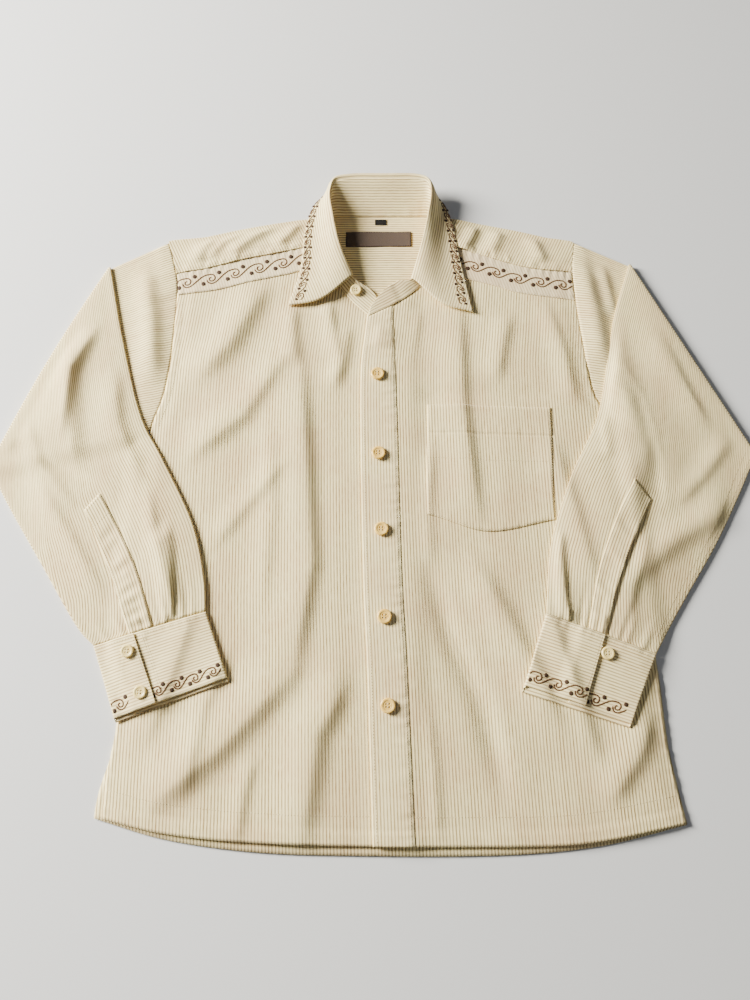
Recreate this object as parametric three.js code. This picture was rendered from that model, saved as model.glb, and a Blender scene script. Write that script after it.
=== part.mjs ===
// A long-sleeved men's shirt laid on its back, sleeves folded forward over the fronts.
// Millimetres. +X runs to the wearer's left, +Y to the collar, +Z up from the surface it lies on.
import * as THREE from "three";

// ---- Driving sizes ----
const CLOTH = 1.2; // one layer of shirting
const FUSED = 1.6; // one layer of cuff or collar, with its interlining
const SEAM = 0.3; // clearance between neighbouring pieces
const FLAT_RADIUS = 1.5; // half the height of a flattened tube of two layers
const FUSED_RADIUS = 1.85; // the same for a cuff
const FOLD_CENTRE = 3.2; // height of the line that each sleeve folds about
const SIDE_REST = 1.5; // height of a front at its side seam
const FRONT_RISE = 1.4; // how much higher a front lies away from its sides
const FRONT_LAP = 1.9; // how much higher the left front lies over the right front's edge
const LAP_END = [38, 62]; // x over which the left front comes down to the body again
const FOLDS_END = { right: [-45, -12], left: [38, 70] }; // x over which the folds die out by the placket
const BACK_SHOWS = 7.5; // how far the back's hem corner shows past the right front
const HEM_DEPTH = 14; // turned hem
const HEM_TURN = 0.6; // extra height of the turned hem
const YOKE_FOOT = 216; // back yoke seam
const NECK_SEAM = 341; // back neck seam
const FRONT_BUTTON = { across: 15, height: 3 };
const CUFF_BUTTON = { across: 13, height: 2.8 };

const COLOURS = {
  cloth: { color: 0xe6dfc4, roughness: 0.9, metalness: 0 },
  button: { color: 0xe3cb8d, roughness: 0.45, metalness: 0 },
  label: { color: 0x87786c, roughness: 0.8, metalness: 0 },
  size: { color: 0x1c1a1a, roughness: 0.8, metalness: 0 },
};

// ---- Small functions ----
const mix = THREE.MathUtils.lerp;
const soft = (value, low, high) => THREE.MathUtils.smoothstep(value, low, high);

// A smooth line through [at, value] knots, straight beyond its ends.
function through(knots) {
  const last = knots.length - 1;
  const slope = (i) => {
    const before = knots[Math.max(i - 1, 0)];
    const after = knots[Math.min(i + 1, last)];
    return (after[1] - before[1]) / (after[0] - before[0]);
  };
  return (at) => {
    if (at <= knots[0][0]) return knots[0][1] + slope(0) * (at - knots[0][0]);
    if (at >= knots[last][0]) return knots[last][1] + slope(last) * (at - knots[last][0]);
    const i = knots.findIndex((knot) => knot[0] > at) - 1;
    const [start, low] = knots[i];
    const [end, high] = knots[i + 1];
    const span = end - start;
    const t = (at - start) / span;
    const rise = slope(i) * span;
    const fall = slope(i + 1) * span;
    const a = 2 * low - 2 * high + rise + fall;
    const b = -3 * low + 3 * high - 2 * rise - fall;
    return ((a * t + b) * t + rise) * t + low;
  };
}

// The point where a column line x(y) crosses a row line y(x).
function crossing(column, row) {
  let x = column(0);
  let y = row(x);
  for (let step = 0; step < 16; step += 1) {
    x = column(y);
    y = row(x);
  }
  return [x, y];
}

// Named lines with `parts` equal steps between each line and the next.
function spread(lines, parts) {
  const all = [lines[0]];
  parts.forEach((count, i) => {
    for (let step = 1; step <= count; step += 1) {
      all.push((at) => mix(lines[i](at), lines[i + 1](at), step / count));
    }
  });
  return all;
}

// The net of points where every row crosses every column.
const netOf = (columns, rows) => rows.map((row) => columns.map((column) => crossing(column, row)));
const partOf = (net, [row0, row1], [column0, column1]) =>
  net.slice(row0, row1 + 1).map((row) => row.slice(column0, column1 + 1));

// One closed solid from two skins of points, joined along every free edge.
// `loop` joins the last column to the first, and `keep` says which cells are cloth.
function shell(outer, inner, { loop = false, keep = () => true } = {}) {
  const rows = outer.length;
  const columns = outer[0].length;
  const points = [...outer.flat(), ...inner.flat()];
  const under = rows * columns;
  const faces = [];
  const free = new Map();
  const skin = (a, b, c) => {
    faces.push(a, b, c, c + under, b + under, a + under);
    [[a, b], [b, c], [c, a]].forEach(([p, q]) => {
      if (!free.delete(`${q} ${p}`)) free.set(`${p} ${q}`, [p, q]);
    });
  };
  for (let r = 0; r < rows - 1; r += 1) {
    for (let c = 0; c < (loop ? columns : columns - 1); c += 1) {
      if (!keep(r, c)) continue;
      const next = (c + 1) % columns;
      const [a, b] = [r * columns + c, r * columns + next];
      const [d, e] = [(r + 1) * columns + c, (r + 1) * columns + next];
      skin(a, b, e);
      skin(a, e, d);
    }
  }
  free.forEach(([p, q]) => faces.push(q, p, p + under, q, p + under, q + under));
  const used = new Map();
  const index = faces.map((point) => {
    if (!used.has(point)) used.set(point, used.size);
    return used.get(point);
  });
  const places = [...used.keys()].flatMap((point) => points[point]);
  const geometry = new THREE.BufferGeometry();
  geometry.setAttribute("position", new THREE.Float32BufferAttribute(places, 3));
  geometry.setIndex(index);
  geometry.computeVertexNormals();
  return geometry;
}

// A piece of cloth over a net: its underside at `floor`, its top `thick` higher.
function layer(net, floor, thick = () => CLOTH, options = {}) {
  const raise = (extra) => net.map((row) => row.map(([x, y]) => [x, y, floor(x, y) + extra(x, y)]));
  return shell(raise(thick), raise(() => 0), options);
}

// A wall of cloth about a grid of middle points, moved out both ways along its normals.
function wall(middle, thick, options = {}) {
  const grid = middle.map((row) => row.map((point) => new THREE.Vector3(...point)));
  const rows = grid.length - 1;
  const columns = grid[0].length - 1;
  const along = new THREE.Vector3();
  const across = new THREE.Vector3();
  const moved = (way) =>
    grid.map((row, r) =>
      row.map((point, c) => {
        along.subVectors(row[Math.min(c + 1, columns)], row[Math.max(c - 1, 0)]);
        across.subVectors(grid[Math.min(r + 1, rows)][c], grid[Math.max(r - 1, 0)][c]);
        const normal = along.clone().cross(across).normalize();
        return point.clone().addScaledVector(normal, (way * thick) / 2).toArray();
      }),
    );
  return shell(moved(1), moved(-1), options);
}

const shirt = new THREE.Group();
function add(name, geometry, finish = COLOURS.cloth) {
  const mesh = new THREE.Mesh(geometry, new THREE.MeshStandardMaterial(finish));
  mesh.name = name;
  shirt.add(mesh);
  return mesh;
}

// ---- Outlines: x along y for the sides and edges, y along x for hems and seams ----
const UNDERARM = { right: 56, left: 78 };
const ARMHOLE_TOP = 303;
const ACROSS = 7; // steps across one layer of a sleeve, and along each armhole
const armholeHeights = (front) =>
  Array.from({ length: ACROSS + 1 }, (_, i) => mix(UNDERARM[front], ARMHOLE_TOP, i / ACROSS));
const BELOW_ARM = [-361, -340, -320, -262, -150, -50];

// Neighbouring pieces meet on lines that are straight between shared stations.
const facet = (line, stations) => (at) => {
  const next = stations.findIndex((station) => station > at);
  const i = next < 0 ? stations.length - 1 : Math.max(next, 1);
  const [low, high] = [stations[i - 1], stations[i]];
  return mix(line(low), line(high), (at - low) / (high - low));
};

const rightOutline = through([
  [-361, -264.5], [-320, -264], [-262, -258.5], [20, -256.5], [56, -252], [95, -241.5], [135, -236.5],
  [173, -235.5], [243, -236.5], [278, -244.5], [304, -252.5],
]);
const rightSide = facet(rightOutline, [...BELOW_ARM, ...armholeHeights("right")]);
const leftOutline = through([
  [-361, 304.5], [-320, 298.5], [-287, 294.5], [-203, 291.5], [73, 263.5], [101, 252.5],
  [161, 246.5], [231, 241.5], [269, 241.5], [304, 246.5],
]);
const leftSide = facet(leftOutline, [...BELOW_ARM, ...armholeHeights("left")]);
const backHem = through([
  [-272, -355], [-206, -373], [-128, -384], [-51, -387.8], [122, -388], [218, -380], [304, -361],
]);
const frontHem = through([
  [-264, -355], [-206, -368], [-128, -376], [0, -380], [160, -380], [218, -376], [304, -360],
]);
const shoulderFold = through([
  [-252, 303], [-212, 312], [-165, 324], [-116, 334], [-84, 339], [8, 341.5], [96, 340],
  [132, 332], [181, 321], [246, 303],
]);
const NECK_RIGHT = -66;
const NECK_LEFT = 84;
const shoulderStations = (start, end) => [0, 1, 2, 3, 4, 5].map((step) => mix(start, end, step / 5));
const RIGHT_SHOULDER = shoulderStations(-236, NECK_RIGHT);
const LEFT_SHOULDER = shoulderStations(NECK_LEFT, 241);
const rightYokeSeam = facet(
  through([[-240, 257], [-210, 264], [-153, 280], [-112, 289], [-66, 301]]),
  RIGHT_SHOULDER,
);
const leftYokeSeam = facet(
  through([[84, 300], [105, 294], [131, 285], [160, 275], [192, 266], [241, 260]]),
  LEFT_SHOULDER,
);
const placketEdge = through([
  [-378, -0.5], [-292, -3.5], [-205, -6.5], [-125, -10.5], [44, -14.5], [132, -14.5], [182, -9.5],
]);
const placketSeam = through([[-378, 40.5], [-205, 34.5], [-111, 30.5], [61, 27.5], [132, 25.5]]);

// ---- How high the fronts lie ----
// Soft folds: a ridge through three points, its height, and its width on the steep and long side.
const FOLDS = [
  { front: "right", path: [[-84, 120], [-68, -120], [-84, -213]], height: 5, steep: 11, long: 30 },
  { front: "right", path: [[-84, -213], [-153, -287], [-218, -340]], height: 6.5, steep: 12, long: 30 },
  { front: "right", path: [[-22, -215], [-58, -275], [-72, -377]], height: 6, steep: 10, long: 26 },
  { front: "right", path: [[-140, 240], [-170, 190], [-226, 130]], height: 5.5, steep: 12, long: 22 },
  { front: "right", path: [[-107, 148], [-150, 72], [-205, 26]], height: 4.5, steep: 9, long: 20 },
  { front: "left", path: [[100, 215], [101, 80], [112, -50]], height: 2.4, steep: 8, long: 20 },
  { front: "left", path: [[103, -98], [130, -165], [146, -290]], height: 3.6, steep: 10, long: 18 },
  { front: "left", path: [[281, -258], [261, -296], [231, -335]], height: 3.6, steep: 9, long: 20 },
];

// Height of one ridge: bell-shaped across, fading to nothing at both ends.
function ridge({ path, height, steep, long }, x, y) {
  let best = { gap: Infinity };
  for (let i = 0; i < path.length - 1; i += 1) {
    const [startX, startY] = path[i];
    const [runX, runY] = [path[i + 1][0] - startX, path[i + 1][1] - startY];
    const length = Math.hypot(runX, runY);
    const along = ((x - startX) * runX + (y - startY) * runY) / (length * length);
    const t = THREE.MathUtils.clamp(along, i === 0 ? -1 : 0, i === path.length - 2 ? 2 : 1);
    const [offX, offY] = [x - startX - t * runX, y - startY - t * runY];
    const gap = Math.hypot(offX, offY);
    if (gap < best.gap) best = { gap, side: offX, place: (i + t) / (path.length - 1) };
  }
  const width = best.side > 0 ? steep : long;
  const ends = soft(best.place, -0.15, 0.25) * (1 - soft(best.place, 0.8, 1.15));
  return height * Math.exp(-((best.gap / width) ** 2)) * ends;
}

function lift(front, x, y) {
  const inside = front === "right" ? x - rightSide(y) : leftSide(y) - x;
  const byPlacket = soft(x, ...FOLDS_END[front]);
  const flatStrip = front === "right" ? 1 - byPlacket : byPlacket;
  const sides = soft(inside, 2, 26) * flatStrip;
  const own = FOLDS.filter((fold) => fold.front === front);
  return own.reduce((sum, fold) => sum + ridge(fold, x, y), 0) * sides;
}

function frontFloor(front, x, y) {
  const inside = front === "right" ? x - rightSide(y) : leftSide(y) - x;
  const lap = front === "left" ? FRONT_LAP * (1 - soft(x, ...LAP_END)) : 0;
  return SIDE_REST + FRONT_RISE * soft(inside, 0, 20) + lift(front, x, y) + lap;
}
const frontTop = (front) => (x, y) => frontFloor(front, x, y) + CLOTH;
const above = (surface, gap = SEAM) => (x, y) => surface(x, y) + gap;

// ---- Back ----
const backRows = [
  ...spread([backHem, () => -340, () => 56], [1, 4]),
  ...armholeHeights("right").slice(1, 5).map((y, i) => (x) =>
    mix(y, armholeHeights("left")[i + 1], soft(x, -230, 230)),
  ),
  () => YOKE_FOOT - SEAM,
];
const backLeft = (y) => rightSide(y) - BACK_SHOWS * (1 - soft(y, -350, -290));
add("back", layer(netOf(spread([backLeft, leftSide], [12]), backRows), () => 0));

// ---- Yoke: flat under the neck, folded over each shoulder to the front seams ----
const yokeColumns = [
  ...RIGHT_SHOULDER,
  ...[1, 2].map((step) => mix(NECK_RIGHT, NECK_LEFT, step / 3)),
  ...LEFT_SHOULDER,
];
const YOKE_NECK = { first: 5, last: 8 }; // the columns between which the yoke is cut away over the neck
const FOLD_STEPS = 4;
function yokeSkin(radius) {
  const middle = FLAT_RADIUS;
  const under = [0, 0.25, 0.5, 0.75, 1];
  const turn = [1, 2, 3, 4];
  const over = [0.25, 0.5, 0.75, 1];
  const column = (start) => {
    const outward = start < 0 ? rightSide : leftSide;
    const edge = start === yokeColumns[0] || start === yokeColumns[yokeColumns.length - 1];
    const foldY = shoulderFold(start) - FLAT_RADIUS;
    const seam = (start < 0 ? rightYokeSeam : leftYokeSeam)(start) + 2 * SEAM;
    const front = start < 0 ? "right" : "left";
    const place = (y) => (edge ? outward(y) + (start < 0 ? SEAM : -SEAM) : start);
    const flat = under.map((t) => {
      const y = mix(YOKE_FOOT, foldY, t);
      return [place(y), y, middle - radius];
    });
    const bend = turn.map((step) => {
      const angle = (Math.PI * step) / FOLD_STEPS;
      return [place(foldY), foldY + radius * Math.sin(angle), middle - radius * Math.cos(angle)];
    });
    const top = over.map((t) => {
      const y = mix(foldY, seam, t);
      const x = place(y);
      const level = mix(middle + FLAT_RADIUS, frontTop(front)(x, y), soft(t, 0, 0.9));
      return [x, y, level - (FLAT_RADIUS - radius)];
    });
    return [...flat, ...bend, ...top];
  };
  const columns = yokeColumns.map(column);
  return columns[0].map((_, row) => columns.map((points) => points[row]));
}
add("yoke", shell(yokeSkin(FLAT_RADIUS - CLOTH), yokeSkin(FLAT_RADIUS), {
  keep: (row, column) => row < 4 || column < YOKE_NECK.first || column >= YOKE_NECK.last,
}));

// The inner yoke lies on the outer one inside the neck.
const LINING = 1;
const liningRows = spread([() => YOKE_FOOT + 1, () => NECK_SEAM - 2], [4]);
const liningNet = netOf(spread([() => -56, () => 73], [4]), liningRows);
add("yoke_lining", layer(liningNet, () => CLOTH + SEAM, () => LINING));

// ---- Fronts ----
const hemStitch = (hem) => (x) => hem(x) + HEM_DEPTH;
const hemThick = (hem) => (x, y) => CLOTH + (y < hem(x) + HEM_DEPTH / 2 ? HEM_TURN : 0);

const rightNeck = through([[-66, 301], [-61, 276], [-48, 243], [-26, 216], [-6, 197], [30, 188]]);
const rightTop = (x) => (x < NECK_RIGHT ? rightYokeSeam(x) : rightNeck(x));
const rightBandFoot = through([
  [-240, 229], [-190, 236], [-149, 247], [-104, 258], [-72, 262], [-58, 236], [-24, 196], [30, 168],
]);
const rightEdge = through([[-378, 34], [-200, 31], [0, 27], [130, 20], [198, 4]]);
const rightMiddle = (y) => (y > 150 ? NECK_RIGHT - (250 - y) * 0.2 : -86);
const rightNet = netOf(
  spread([rightSide, rightMiddle, rightEdge], [9, 6]),
  spread([frontHem, hemStitch(frontHem), () => -130, () => 80, rightBandFoot, rightTop], [1, 9, 8, 5, 2]),
);
add("front_right", layer(rightNet, (x, y) => frontFloor("right", x, y), hemThick(frontHem)));

const leftNeck = through([[-14, 190], [-3, 195], [20, 207], [43, 222], [62, 243], [77, 274], [84, 300]]);
const leftTop = (x) => (x > NECK_LEFT ? leftYokeSeam(x) : leftNeck(x));
const leftBandFoot = through([
  [-14, 176], [18, 186], [40, 196], [58, 213], [78, 246], [106, 251], [141, 243], [175, 232], [241, 222],
]);
const pocketLeft = through([[-378, 74], [-47, 58.5], [85, 61.5], [230, 64]]);
const pocketMiddle = through([[-378, 138], [-66, 124.5], [85, 130], [230, 133]]);
const pocketRight = through([[-378, 222], [-53, 198.5], [81, 202.5], [230, 200]]);
const pocketFoot = through([[-14, -40], [58.5, -47], [124.5, -66], [198.5, -53], [290, -45]]);
const pocketTop = through([[-14, 86], [61.5, 85], [202.5, 81], [290, 80]]);
const LEFT_COLUMNS = [1, 1, 4, 4, 4];
const LEFT_ROWS = [1, 9, 5, 1, 5, 2];
const leftNet = netOf(
  spread([placketEdge, placketSeam, pocketLeft, pocketMiddle, pocketRight, leftSide], LEFT_COLUMNS),
  spread(
    [frontHem, hemStitch(frontHem), pocketFoot, (x) => pocketTop(x) - 35, pocketTop, leftBandFoot, leftTop],
    LEFT_ROWS,
  ),
);
const leftFloor = (x, y) => frontFloor("left", x, y);
add("front_left", layer(leftNet, leftFloor, hemThick(frontHem)));

// What lies on a front takes the front's own points, moved out.
const onLeft = above(frontTop("left"));
const onRight = above(frontTop("right"));
const lastRow = leftNet.length - 1;
const lastColumn = leftNet[0].length - 1;
const onHem = (x, y) => onLeft(x, y) + (y < frontHem(x) + HEM_DEPTH / 2 ? HEM_TURN : 0);
add("placket", layer(partOf(leftNet, [0, lastRow], [0, 1]), onHem));
add("pocket", layer(partOf(leftNet, [10, 16], [2, 10]), onLeft));
add("band_left", layer(partOf(leftNet, [lastRow - 2, lastRow], [4, lastColumn]), onLeft));
const lastRight = rightNet.length - 1;
add("band_right", layer(partOf(rightNet, [lastRight - 2, lastRight], [0, 8]), onRight));

// ---- Collar: a stand round the neck, and a leaf that rolls over it ----
// Each row: the neck seam, the crest of the roll and the leaf's outer edge, as x, y and height.
const COLLAR = [
  { neck: [-6, 201, 3.5], crest: [4, 222, 3.6], edge: null },
  { neck: [-14, 209, 3.5], crest: [-2, 235, 4.6], edge: null },
  { neck: [-26, 221, 3.5], crest: [-14, 243, 6.8], edge: null },
  { neck: [-45, 248, 3.5], crest: [-25, 250.5, 12], edge: [-98, 213, 7.4] },
  { neck: [-58, 281, 3.5], crest: [-41, 290, 19], edge: [-89, 262, 7.6] },
  { neck: [-61, 318, 3.3], crest: [-50, 331, 23], edge: [-84, 318, 8] },
  { neck: [-57, 338, 2.8], crest: [-54, 362, 25], edge: [-72, 358, 8] },
  { neck: [-47, 342.5, 2.2], crest: [-49, 381.5, 26], edge: [-52, 373, 6] },
  { neck: [-32, 342.5, 2.2], crest: [-33, 386.8, 26], edge: [-36, 358, 1.4] },
  { neck: [10, 342.5, 2.2], crest: [12, 387.9, 26], edge: [12, 352, 1.4] },
  { neck: [52, 342.5, 2.2], crest: [55, 386.8, 26], edge: [57, 358, 1.4] },
  { neck: [66, 342.5, 2.2], crest: [67, 381, 26], edge: [72, 373, 6] },
  { neck: [76, 338, 2.8], crest: [71, 365, 25], edge: [86, 358, 8] },
  { neck: [79, 318, 3.3], crest: [67, 334, 23], edge: [97, 326, 8] },
  { neck: [76, 281, 3.8], crest: [59, 295, 19], edge: [106, 270, 7.8] },
  { neck: [62, 249, 5.2], crest: [45.5, 247, 12.5], edge: [118, 204, 7.6] },
  { neck: [41, 227, 5.4], crest: [31, 246, 8], edge: null },
  { neck: [20, 213, 5.4], crest: [13, 233.5, 6.4], edge: null },
  { neck: [-1, 200, 5.4], crest: [-3, 210, 5.8], edge: null },
];
const STAND_TOP = 0.8; // where the leaf is sewn to the stand, as a share of the way to the crest
const leafRows = COLLAR.filter((row) => row.edge);
const splineOf = (points) =>
  new THREE.CatmullRomCurve3(points.map((p) => new THREE.Vector3(...p)), false, "centripetal");
const sample = (curve, count) => Array.from({ length: count + 1 }, (_, i) => curve.getPoint(i / count));

function standGrid() {
  const steps = (COLLAR.length - 1) * 2;
  const foot = sample(splineOf(COLLAR.map((row) => row.neck)), steps);
  const crest = sample(splineOf(COLLAR.map((row) => row.crest)), steps);
  const free = 3; // the first and last stations have no leaf, so the stand runs to its own edge there
  return [0, 0.35, 0.7, 1].map((share) =>
    foot.map((point, i) => {
      const station = Math.min(i, steps - i) / 2;
      const reach = mix(1, STAND_TOP, soft(station, free - 1, free));
      return point.clone().lerp(crest[i], share * reach).toArray();
    }),
  );
}
add("collar_stand", wall(standGrid(), CLOTH));

// The leaf starts above the stand, rolls over the crest and falls away from the neck.
const LEAF_BOW = 11; // how far its front edges bow towards the hem
const LEAF_BULGE = 5; // how far its sides swell between the roll and the outer edge
const ROLL = 3.6; // how far the leaf stands off the stand behind the roll
const ROLL_DEPTH = 5; // how far below the crest the roll is widest
const NECK_CENTRE = new THREE.Vector3(10, 275, 0);
const LEAF_STEPS = 10; // steps from the seam on the stand to the leaf's outer edge
function leafGrid() {
  const steps = (leafRows.length - 1) * 2;
  const foot = sample(splineOf(leafRows.map((row) => row.neck)), steps);
  const crest = sample(splineOf(leafRows.map((row) => row.crest)), steps);
  const edge = sample(splineOf(leafRows.map((row) => row.edge)), steps);
  const columns = foot.map((point, i) => {
    const rise = crest[i].clone().sub(point).normalize();
    const away = point.clone().sub(NECK_CENTRE).setZ(0).normalize();
    away.addScaledVector(rise, -away.dot(rise)).normalize();
    const fromEnd = Math.min(i, steps - i);
    const start = point.clone().lerp(crest[i], STAND_TOP + 0.05);
    const shoulder = crest[i].clone().addScaledVector(rise, -ROLL_DEPTH).addScaledVector(away, ROLL);
    const middle = crest[i].clone().lerp(edge[i], 0.5);
    middle.addScaledVector(away, LEAF_BULGE * soft(fromEnd, 0, 4) + 1);
    middle.y -= LEAF_BOW * (1 - soft(fromEnd, 0, 3));
    const marks = [start, crest[i], shoulder, middle, edge[i]];
    const path = new THREE.CatmullRomCurve3(marks, false, "centripetal");
    return sample(path, LEAF_STEPS).map((p) => p.toArray());
  });
  return columns[0].map((_, row) => columns.map((points) => points[row]));
}
add("collar_leaf", wall(leafGrid(), FUSED));

// ---- Sleeves: flattened tubes, folded forward about the line from shoulder to elbow ----
const SLEEVES = {
  right: {
    way: -1,
    side: rightSide,
    underarm: UNDERARM.right,
    shoulder: [-323.5, 267],
    elbow: [-429.5, 10],
    bow: 5,
    inner: [
      [-323.5, 267], [-297.5, 166], [-264.5, 64], [-238.5, 19],
      [-196.5, -62], [-180.5, -123], [-177.2, -153.4],
    ],
    outer: [[-429.5, 10], [-411.5, -21], [-356.5, -101], [-305.5, -173], [-289.6, -187.2]],
    cuff: {
      outerSeam: [-289, -188.5],
      innerSeam: [-177, -154.5],
      outerFoot: [-259.5, -261],
      innerFoot: [-150.5, -222],
      split: [0.36, 0.375],
      onTop: "outer",
    },
    placket: { top: [0.46, 0.6], foot: [0.465, 0.68], start: 9 },
    folds: [{ from: [0.08, 0.35], to: [0.36, 0.52], height: 3, width: 0.07 }],
    pleat: 0.25,
  },
  left: {
    way: 1,
    side: leftSide,
    underarm: UNDERARM.left,
    shoulder: [314, 271],
    elbow: [429.5, 23],
    bow: 0,
    inner: [[314, 271], [288.5, 197], [272.5, 128], [256.5, 68], [220.5, -4], [193.5, -79], [182.3, -155.6]],
    outer: [[429.5, 23], [403.5, -24], [370.5, -79], [325.5, -144], [290.6, -196]],
    cuff: {
      outerSeam: [290, -197],
      innerSeam: [182, -156.5],
      outerFoot: [256.5, -266],
      innerFoot: [153.5, -232],
      split: [0.465, 0.43],
      onTop: "inner",
    },
    placket: { top: [0.37, 0.53], foot: [0.38, 0.54], start: 9 },
    folds: [
      { from: [0.26, 0.02], to: [0.46, 0.44], height: 4.5, width: 0.08 },
      { from: [0.3, 0.96], to: [0.72, 0.64], height: 4, width: 0.06 },
    ],
    pleat: 0.2,
  },
};

// How high the top of whatever lies under a folded sleeve is.
const SLEEVE_REST = 3.4;
const ARMHOLE_CLEAR = 0.9;
const UNDER_SLEEVE = 0.7; // clearance over the folds of a front
const OVER_EDGE = 0.5; // clearance over the body's side
const SETTLE = 26; // how far the cloth takes to come down to the surface
function terrain(front, x, y) {
  const { way, side, underarm, elbow } = SLEEVES[front];
  const inside = -way * (x - side(y));
  const armpit = [side(underarm), underarm];
  const run = [elbow[0] - armpit[0], elbow[1] - armpit[1]];
  const length = Math.hypot(...run);
  const over = (-way * (run[1] * (x - armpit[0]) - run[0] * (y - armpit[1]))) / length;
  const onSleeve = SLEEVE_REST * soft(over, -SETTLE, -2.5);
  const bodyEdge = SIDE_REST + CLOTH + OVER_EDGE;
  const beyond = bodyEdge * soft(inside, -SETTLE, -0.5);
  const onBody = inside < 0 ? beyond : frontTop(front)(x, y) + UNDER_SLEEVE;
  const beside = SLEEVE_REST * (1 - soft(inside, 0, 20)) * (onSleeve / SLEEVE_REST);
  return Math.max(inside < 0 ? onSleeve : beside, onBody);
}

const flatCurve = (points) => new THREE.SplineCurve(points.map((p) => new THREE.Vector2(...p)));
const ROUND = [60, 0, -60].map(THREE.MathUtils.degToRad);
// One trip round a flattened tube: across the layer that is inside the fold, back on the other.
const RING = [
  ...Array.from({ length: ACROSS + 1 }, (_, i) => ({ c: i / ACROSS, out: 0, level: 1 })),
  ...ROUND.map((angle) => ({ c: 1, out: Math.cos(angle), level: Math.sin(angle) })),
  ...Array.from({ length: ACROSS + 1 }, (_, i) => ({ c: 1 - i / ACROSS, out: 0, level: -1 })),
  ...ROUND.map((angle) => ({ c: 0, out: -Math.cos(angle), level: -Math.sin(angle) })),
];

const PLEAT = 2; // height of the pleat that runs into each cuff
const PLUMP = 4; // how much higher the upper layer lies along its middle

// Ridges across the upper layer, and the pleat.
function sleeveFold(sleeve, s, c) {
  const ridges = sleeve.folds.reduce((sum, { from, to, height, width }) => {
    const run = [to[0] - from[0], to[1] - from[1]];
    const t = ((s - from[0]) * run[0] + (c - from[1]) * run[1]) / (run[0] ** 2 + run[1] ** 2);
    const gap = Math.hypot(s - from[0] - t * run[0], c - from[1] - t * run[1]);
    const ends = soft(t, -0.2, 0.2) * (1 - soft(t, 0.8, 1.2));
    return sum + height * Math.exp(-((gap / width) ** 2)) * ends;
  }, 0);
  const step = soft(c, sleeve.pleat - 0.1, sleeve.pleat) * (1 - soft(c, sleeve.pleat, sleeve.pleat + 0.02));
  return ridges + PLEAT * step * soft(s, 0.65, 0.95);
}

function sleeveShape(front) {
  const sleeve = SLEEVES[front];
  const { way, side, underarm, shoulder, elbow, bow } = sleeve;
  const inner = flatCurve(sleeve.inner);
  const outer = flatCurve(sleeve.outer);
  const crease = new THREE.Vector2(elbow[0] - shoulder[0], elbow[1] - shoulder[1]).normalize();
  const outward = new THREE.Vector2(-way * crease.y, way * crease.x);
  const axis = (c) =>
    new THREE.Vector2(mix(shoulder[0], elbow[0], c), mix(shoulder[1], elbow[1], c))
      .addScaledVector(outward, bow * Math.sin(Math.PI * c) - FOLD_CENTRE);
  const armhole = (c) => {
    const y = mix(ARMHOLE_TOP, underarm, c);
    return new THREE.Vector2(side(y) + way * ARMHOLE_CLEAR, y);
  };
  // Under the fold, s runs 0 to 1 from the armhole to the fold line.
  const lower = (s, ring, radius) => {
    const start = armhole(ring.c);
    const end = axis(ring.c);
    const place = start.lerp(end, s);
    const edge = armhole(1).lerp(axis(1), s).sub(armhole(0).lerp(axis(0), s)).normalize();
    place.addScaledVector(edge, ring.out * radius);
    return [place.x, place.y, FLAT_RADIUS + ring.level * radius];
  };
  const bend = (angle, ring, radius) => {
    const reach = FOLD_CENTRE - FLAT_RADIUS - ring.level * radius;
    const place = axis(ring.c).addScaledVector(crease, ring.out * radius);
    place.addScaledVector(outward, reach * Math.sin(angle));
    return [place.x, place.y, FOLD_CENTRE - reach * Math.cos(angle)];
  };
  // Over the fold, s runs 0 to 1 from the fold line to the cuff seam.
  const upper = (s, ring, radius) => {
    const start = inner.getPointAt(s);
    const end = outer.getPointAt(s);
    start.addScaledVector(outward, -FOLD_CENTRE * (1 - s));
    end.addScaledVector(outward, -FOLD_CENTRE * (1 - s));
    const across = end.clone().sub(start).normalize();
    const bowed = bow * Math.sin(Math.PI * ring.c) * (1 - s) ** 2;
    const place = start.lerp(end, ring.c).addScaledVector(across, ring.out * radius);
    place.addScaledVector(outward, bowed);
    const top = (1 - ring.level) / 2;
    const length = Math.min(s * 1.02, 1);
    const plump = PLUMP * Math.sin(Math.PI * ring.c) ** 0.8 * Math.sin(Math.PI * length) ** 0.6;
    const calm = soft(s, 0, 0.08) * soft(Math.min(ring.c, 1 - ring.c), 0, 0.06);
    const rise = top * (plump + sleeveFold(sleeve, s, ring.c) * calm);
    const rest = terrain(front, place.x, place.y) + FLAT_RADIUS;
    return [place.x, place.y, rest - ring.level * radius + rise];
  };
  return { lower, bend, upper };
}

const SLEEVE_STEPS = 17; // rings from the fold line to the cuff
function sleeveSkin(front, radius) {
  const { lower, bend, upper } = sleeveShape(front);
  const rows = [];
  [0, 0.33, 0.67, 1].forEach((s) => rows.push(RING.map((ring) => lower(s, ring, radius))));
  [36, 72, 108, 144].forEach((angle) =>
    rows.push(RING.map((ring) => bend(THREE.MathUtils.degToRad(angle), ring, radius))),
  );
  for (let step = 0; step <= SLEEVE_STEPS; step += 1) {
    rows.push(RING.map((ring) => upper(step / SLEEVE_STEPS, ring, radius)));
  }
  return rows;
}

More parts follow.
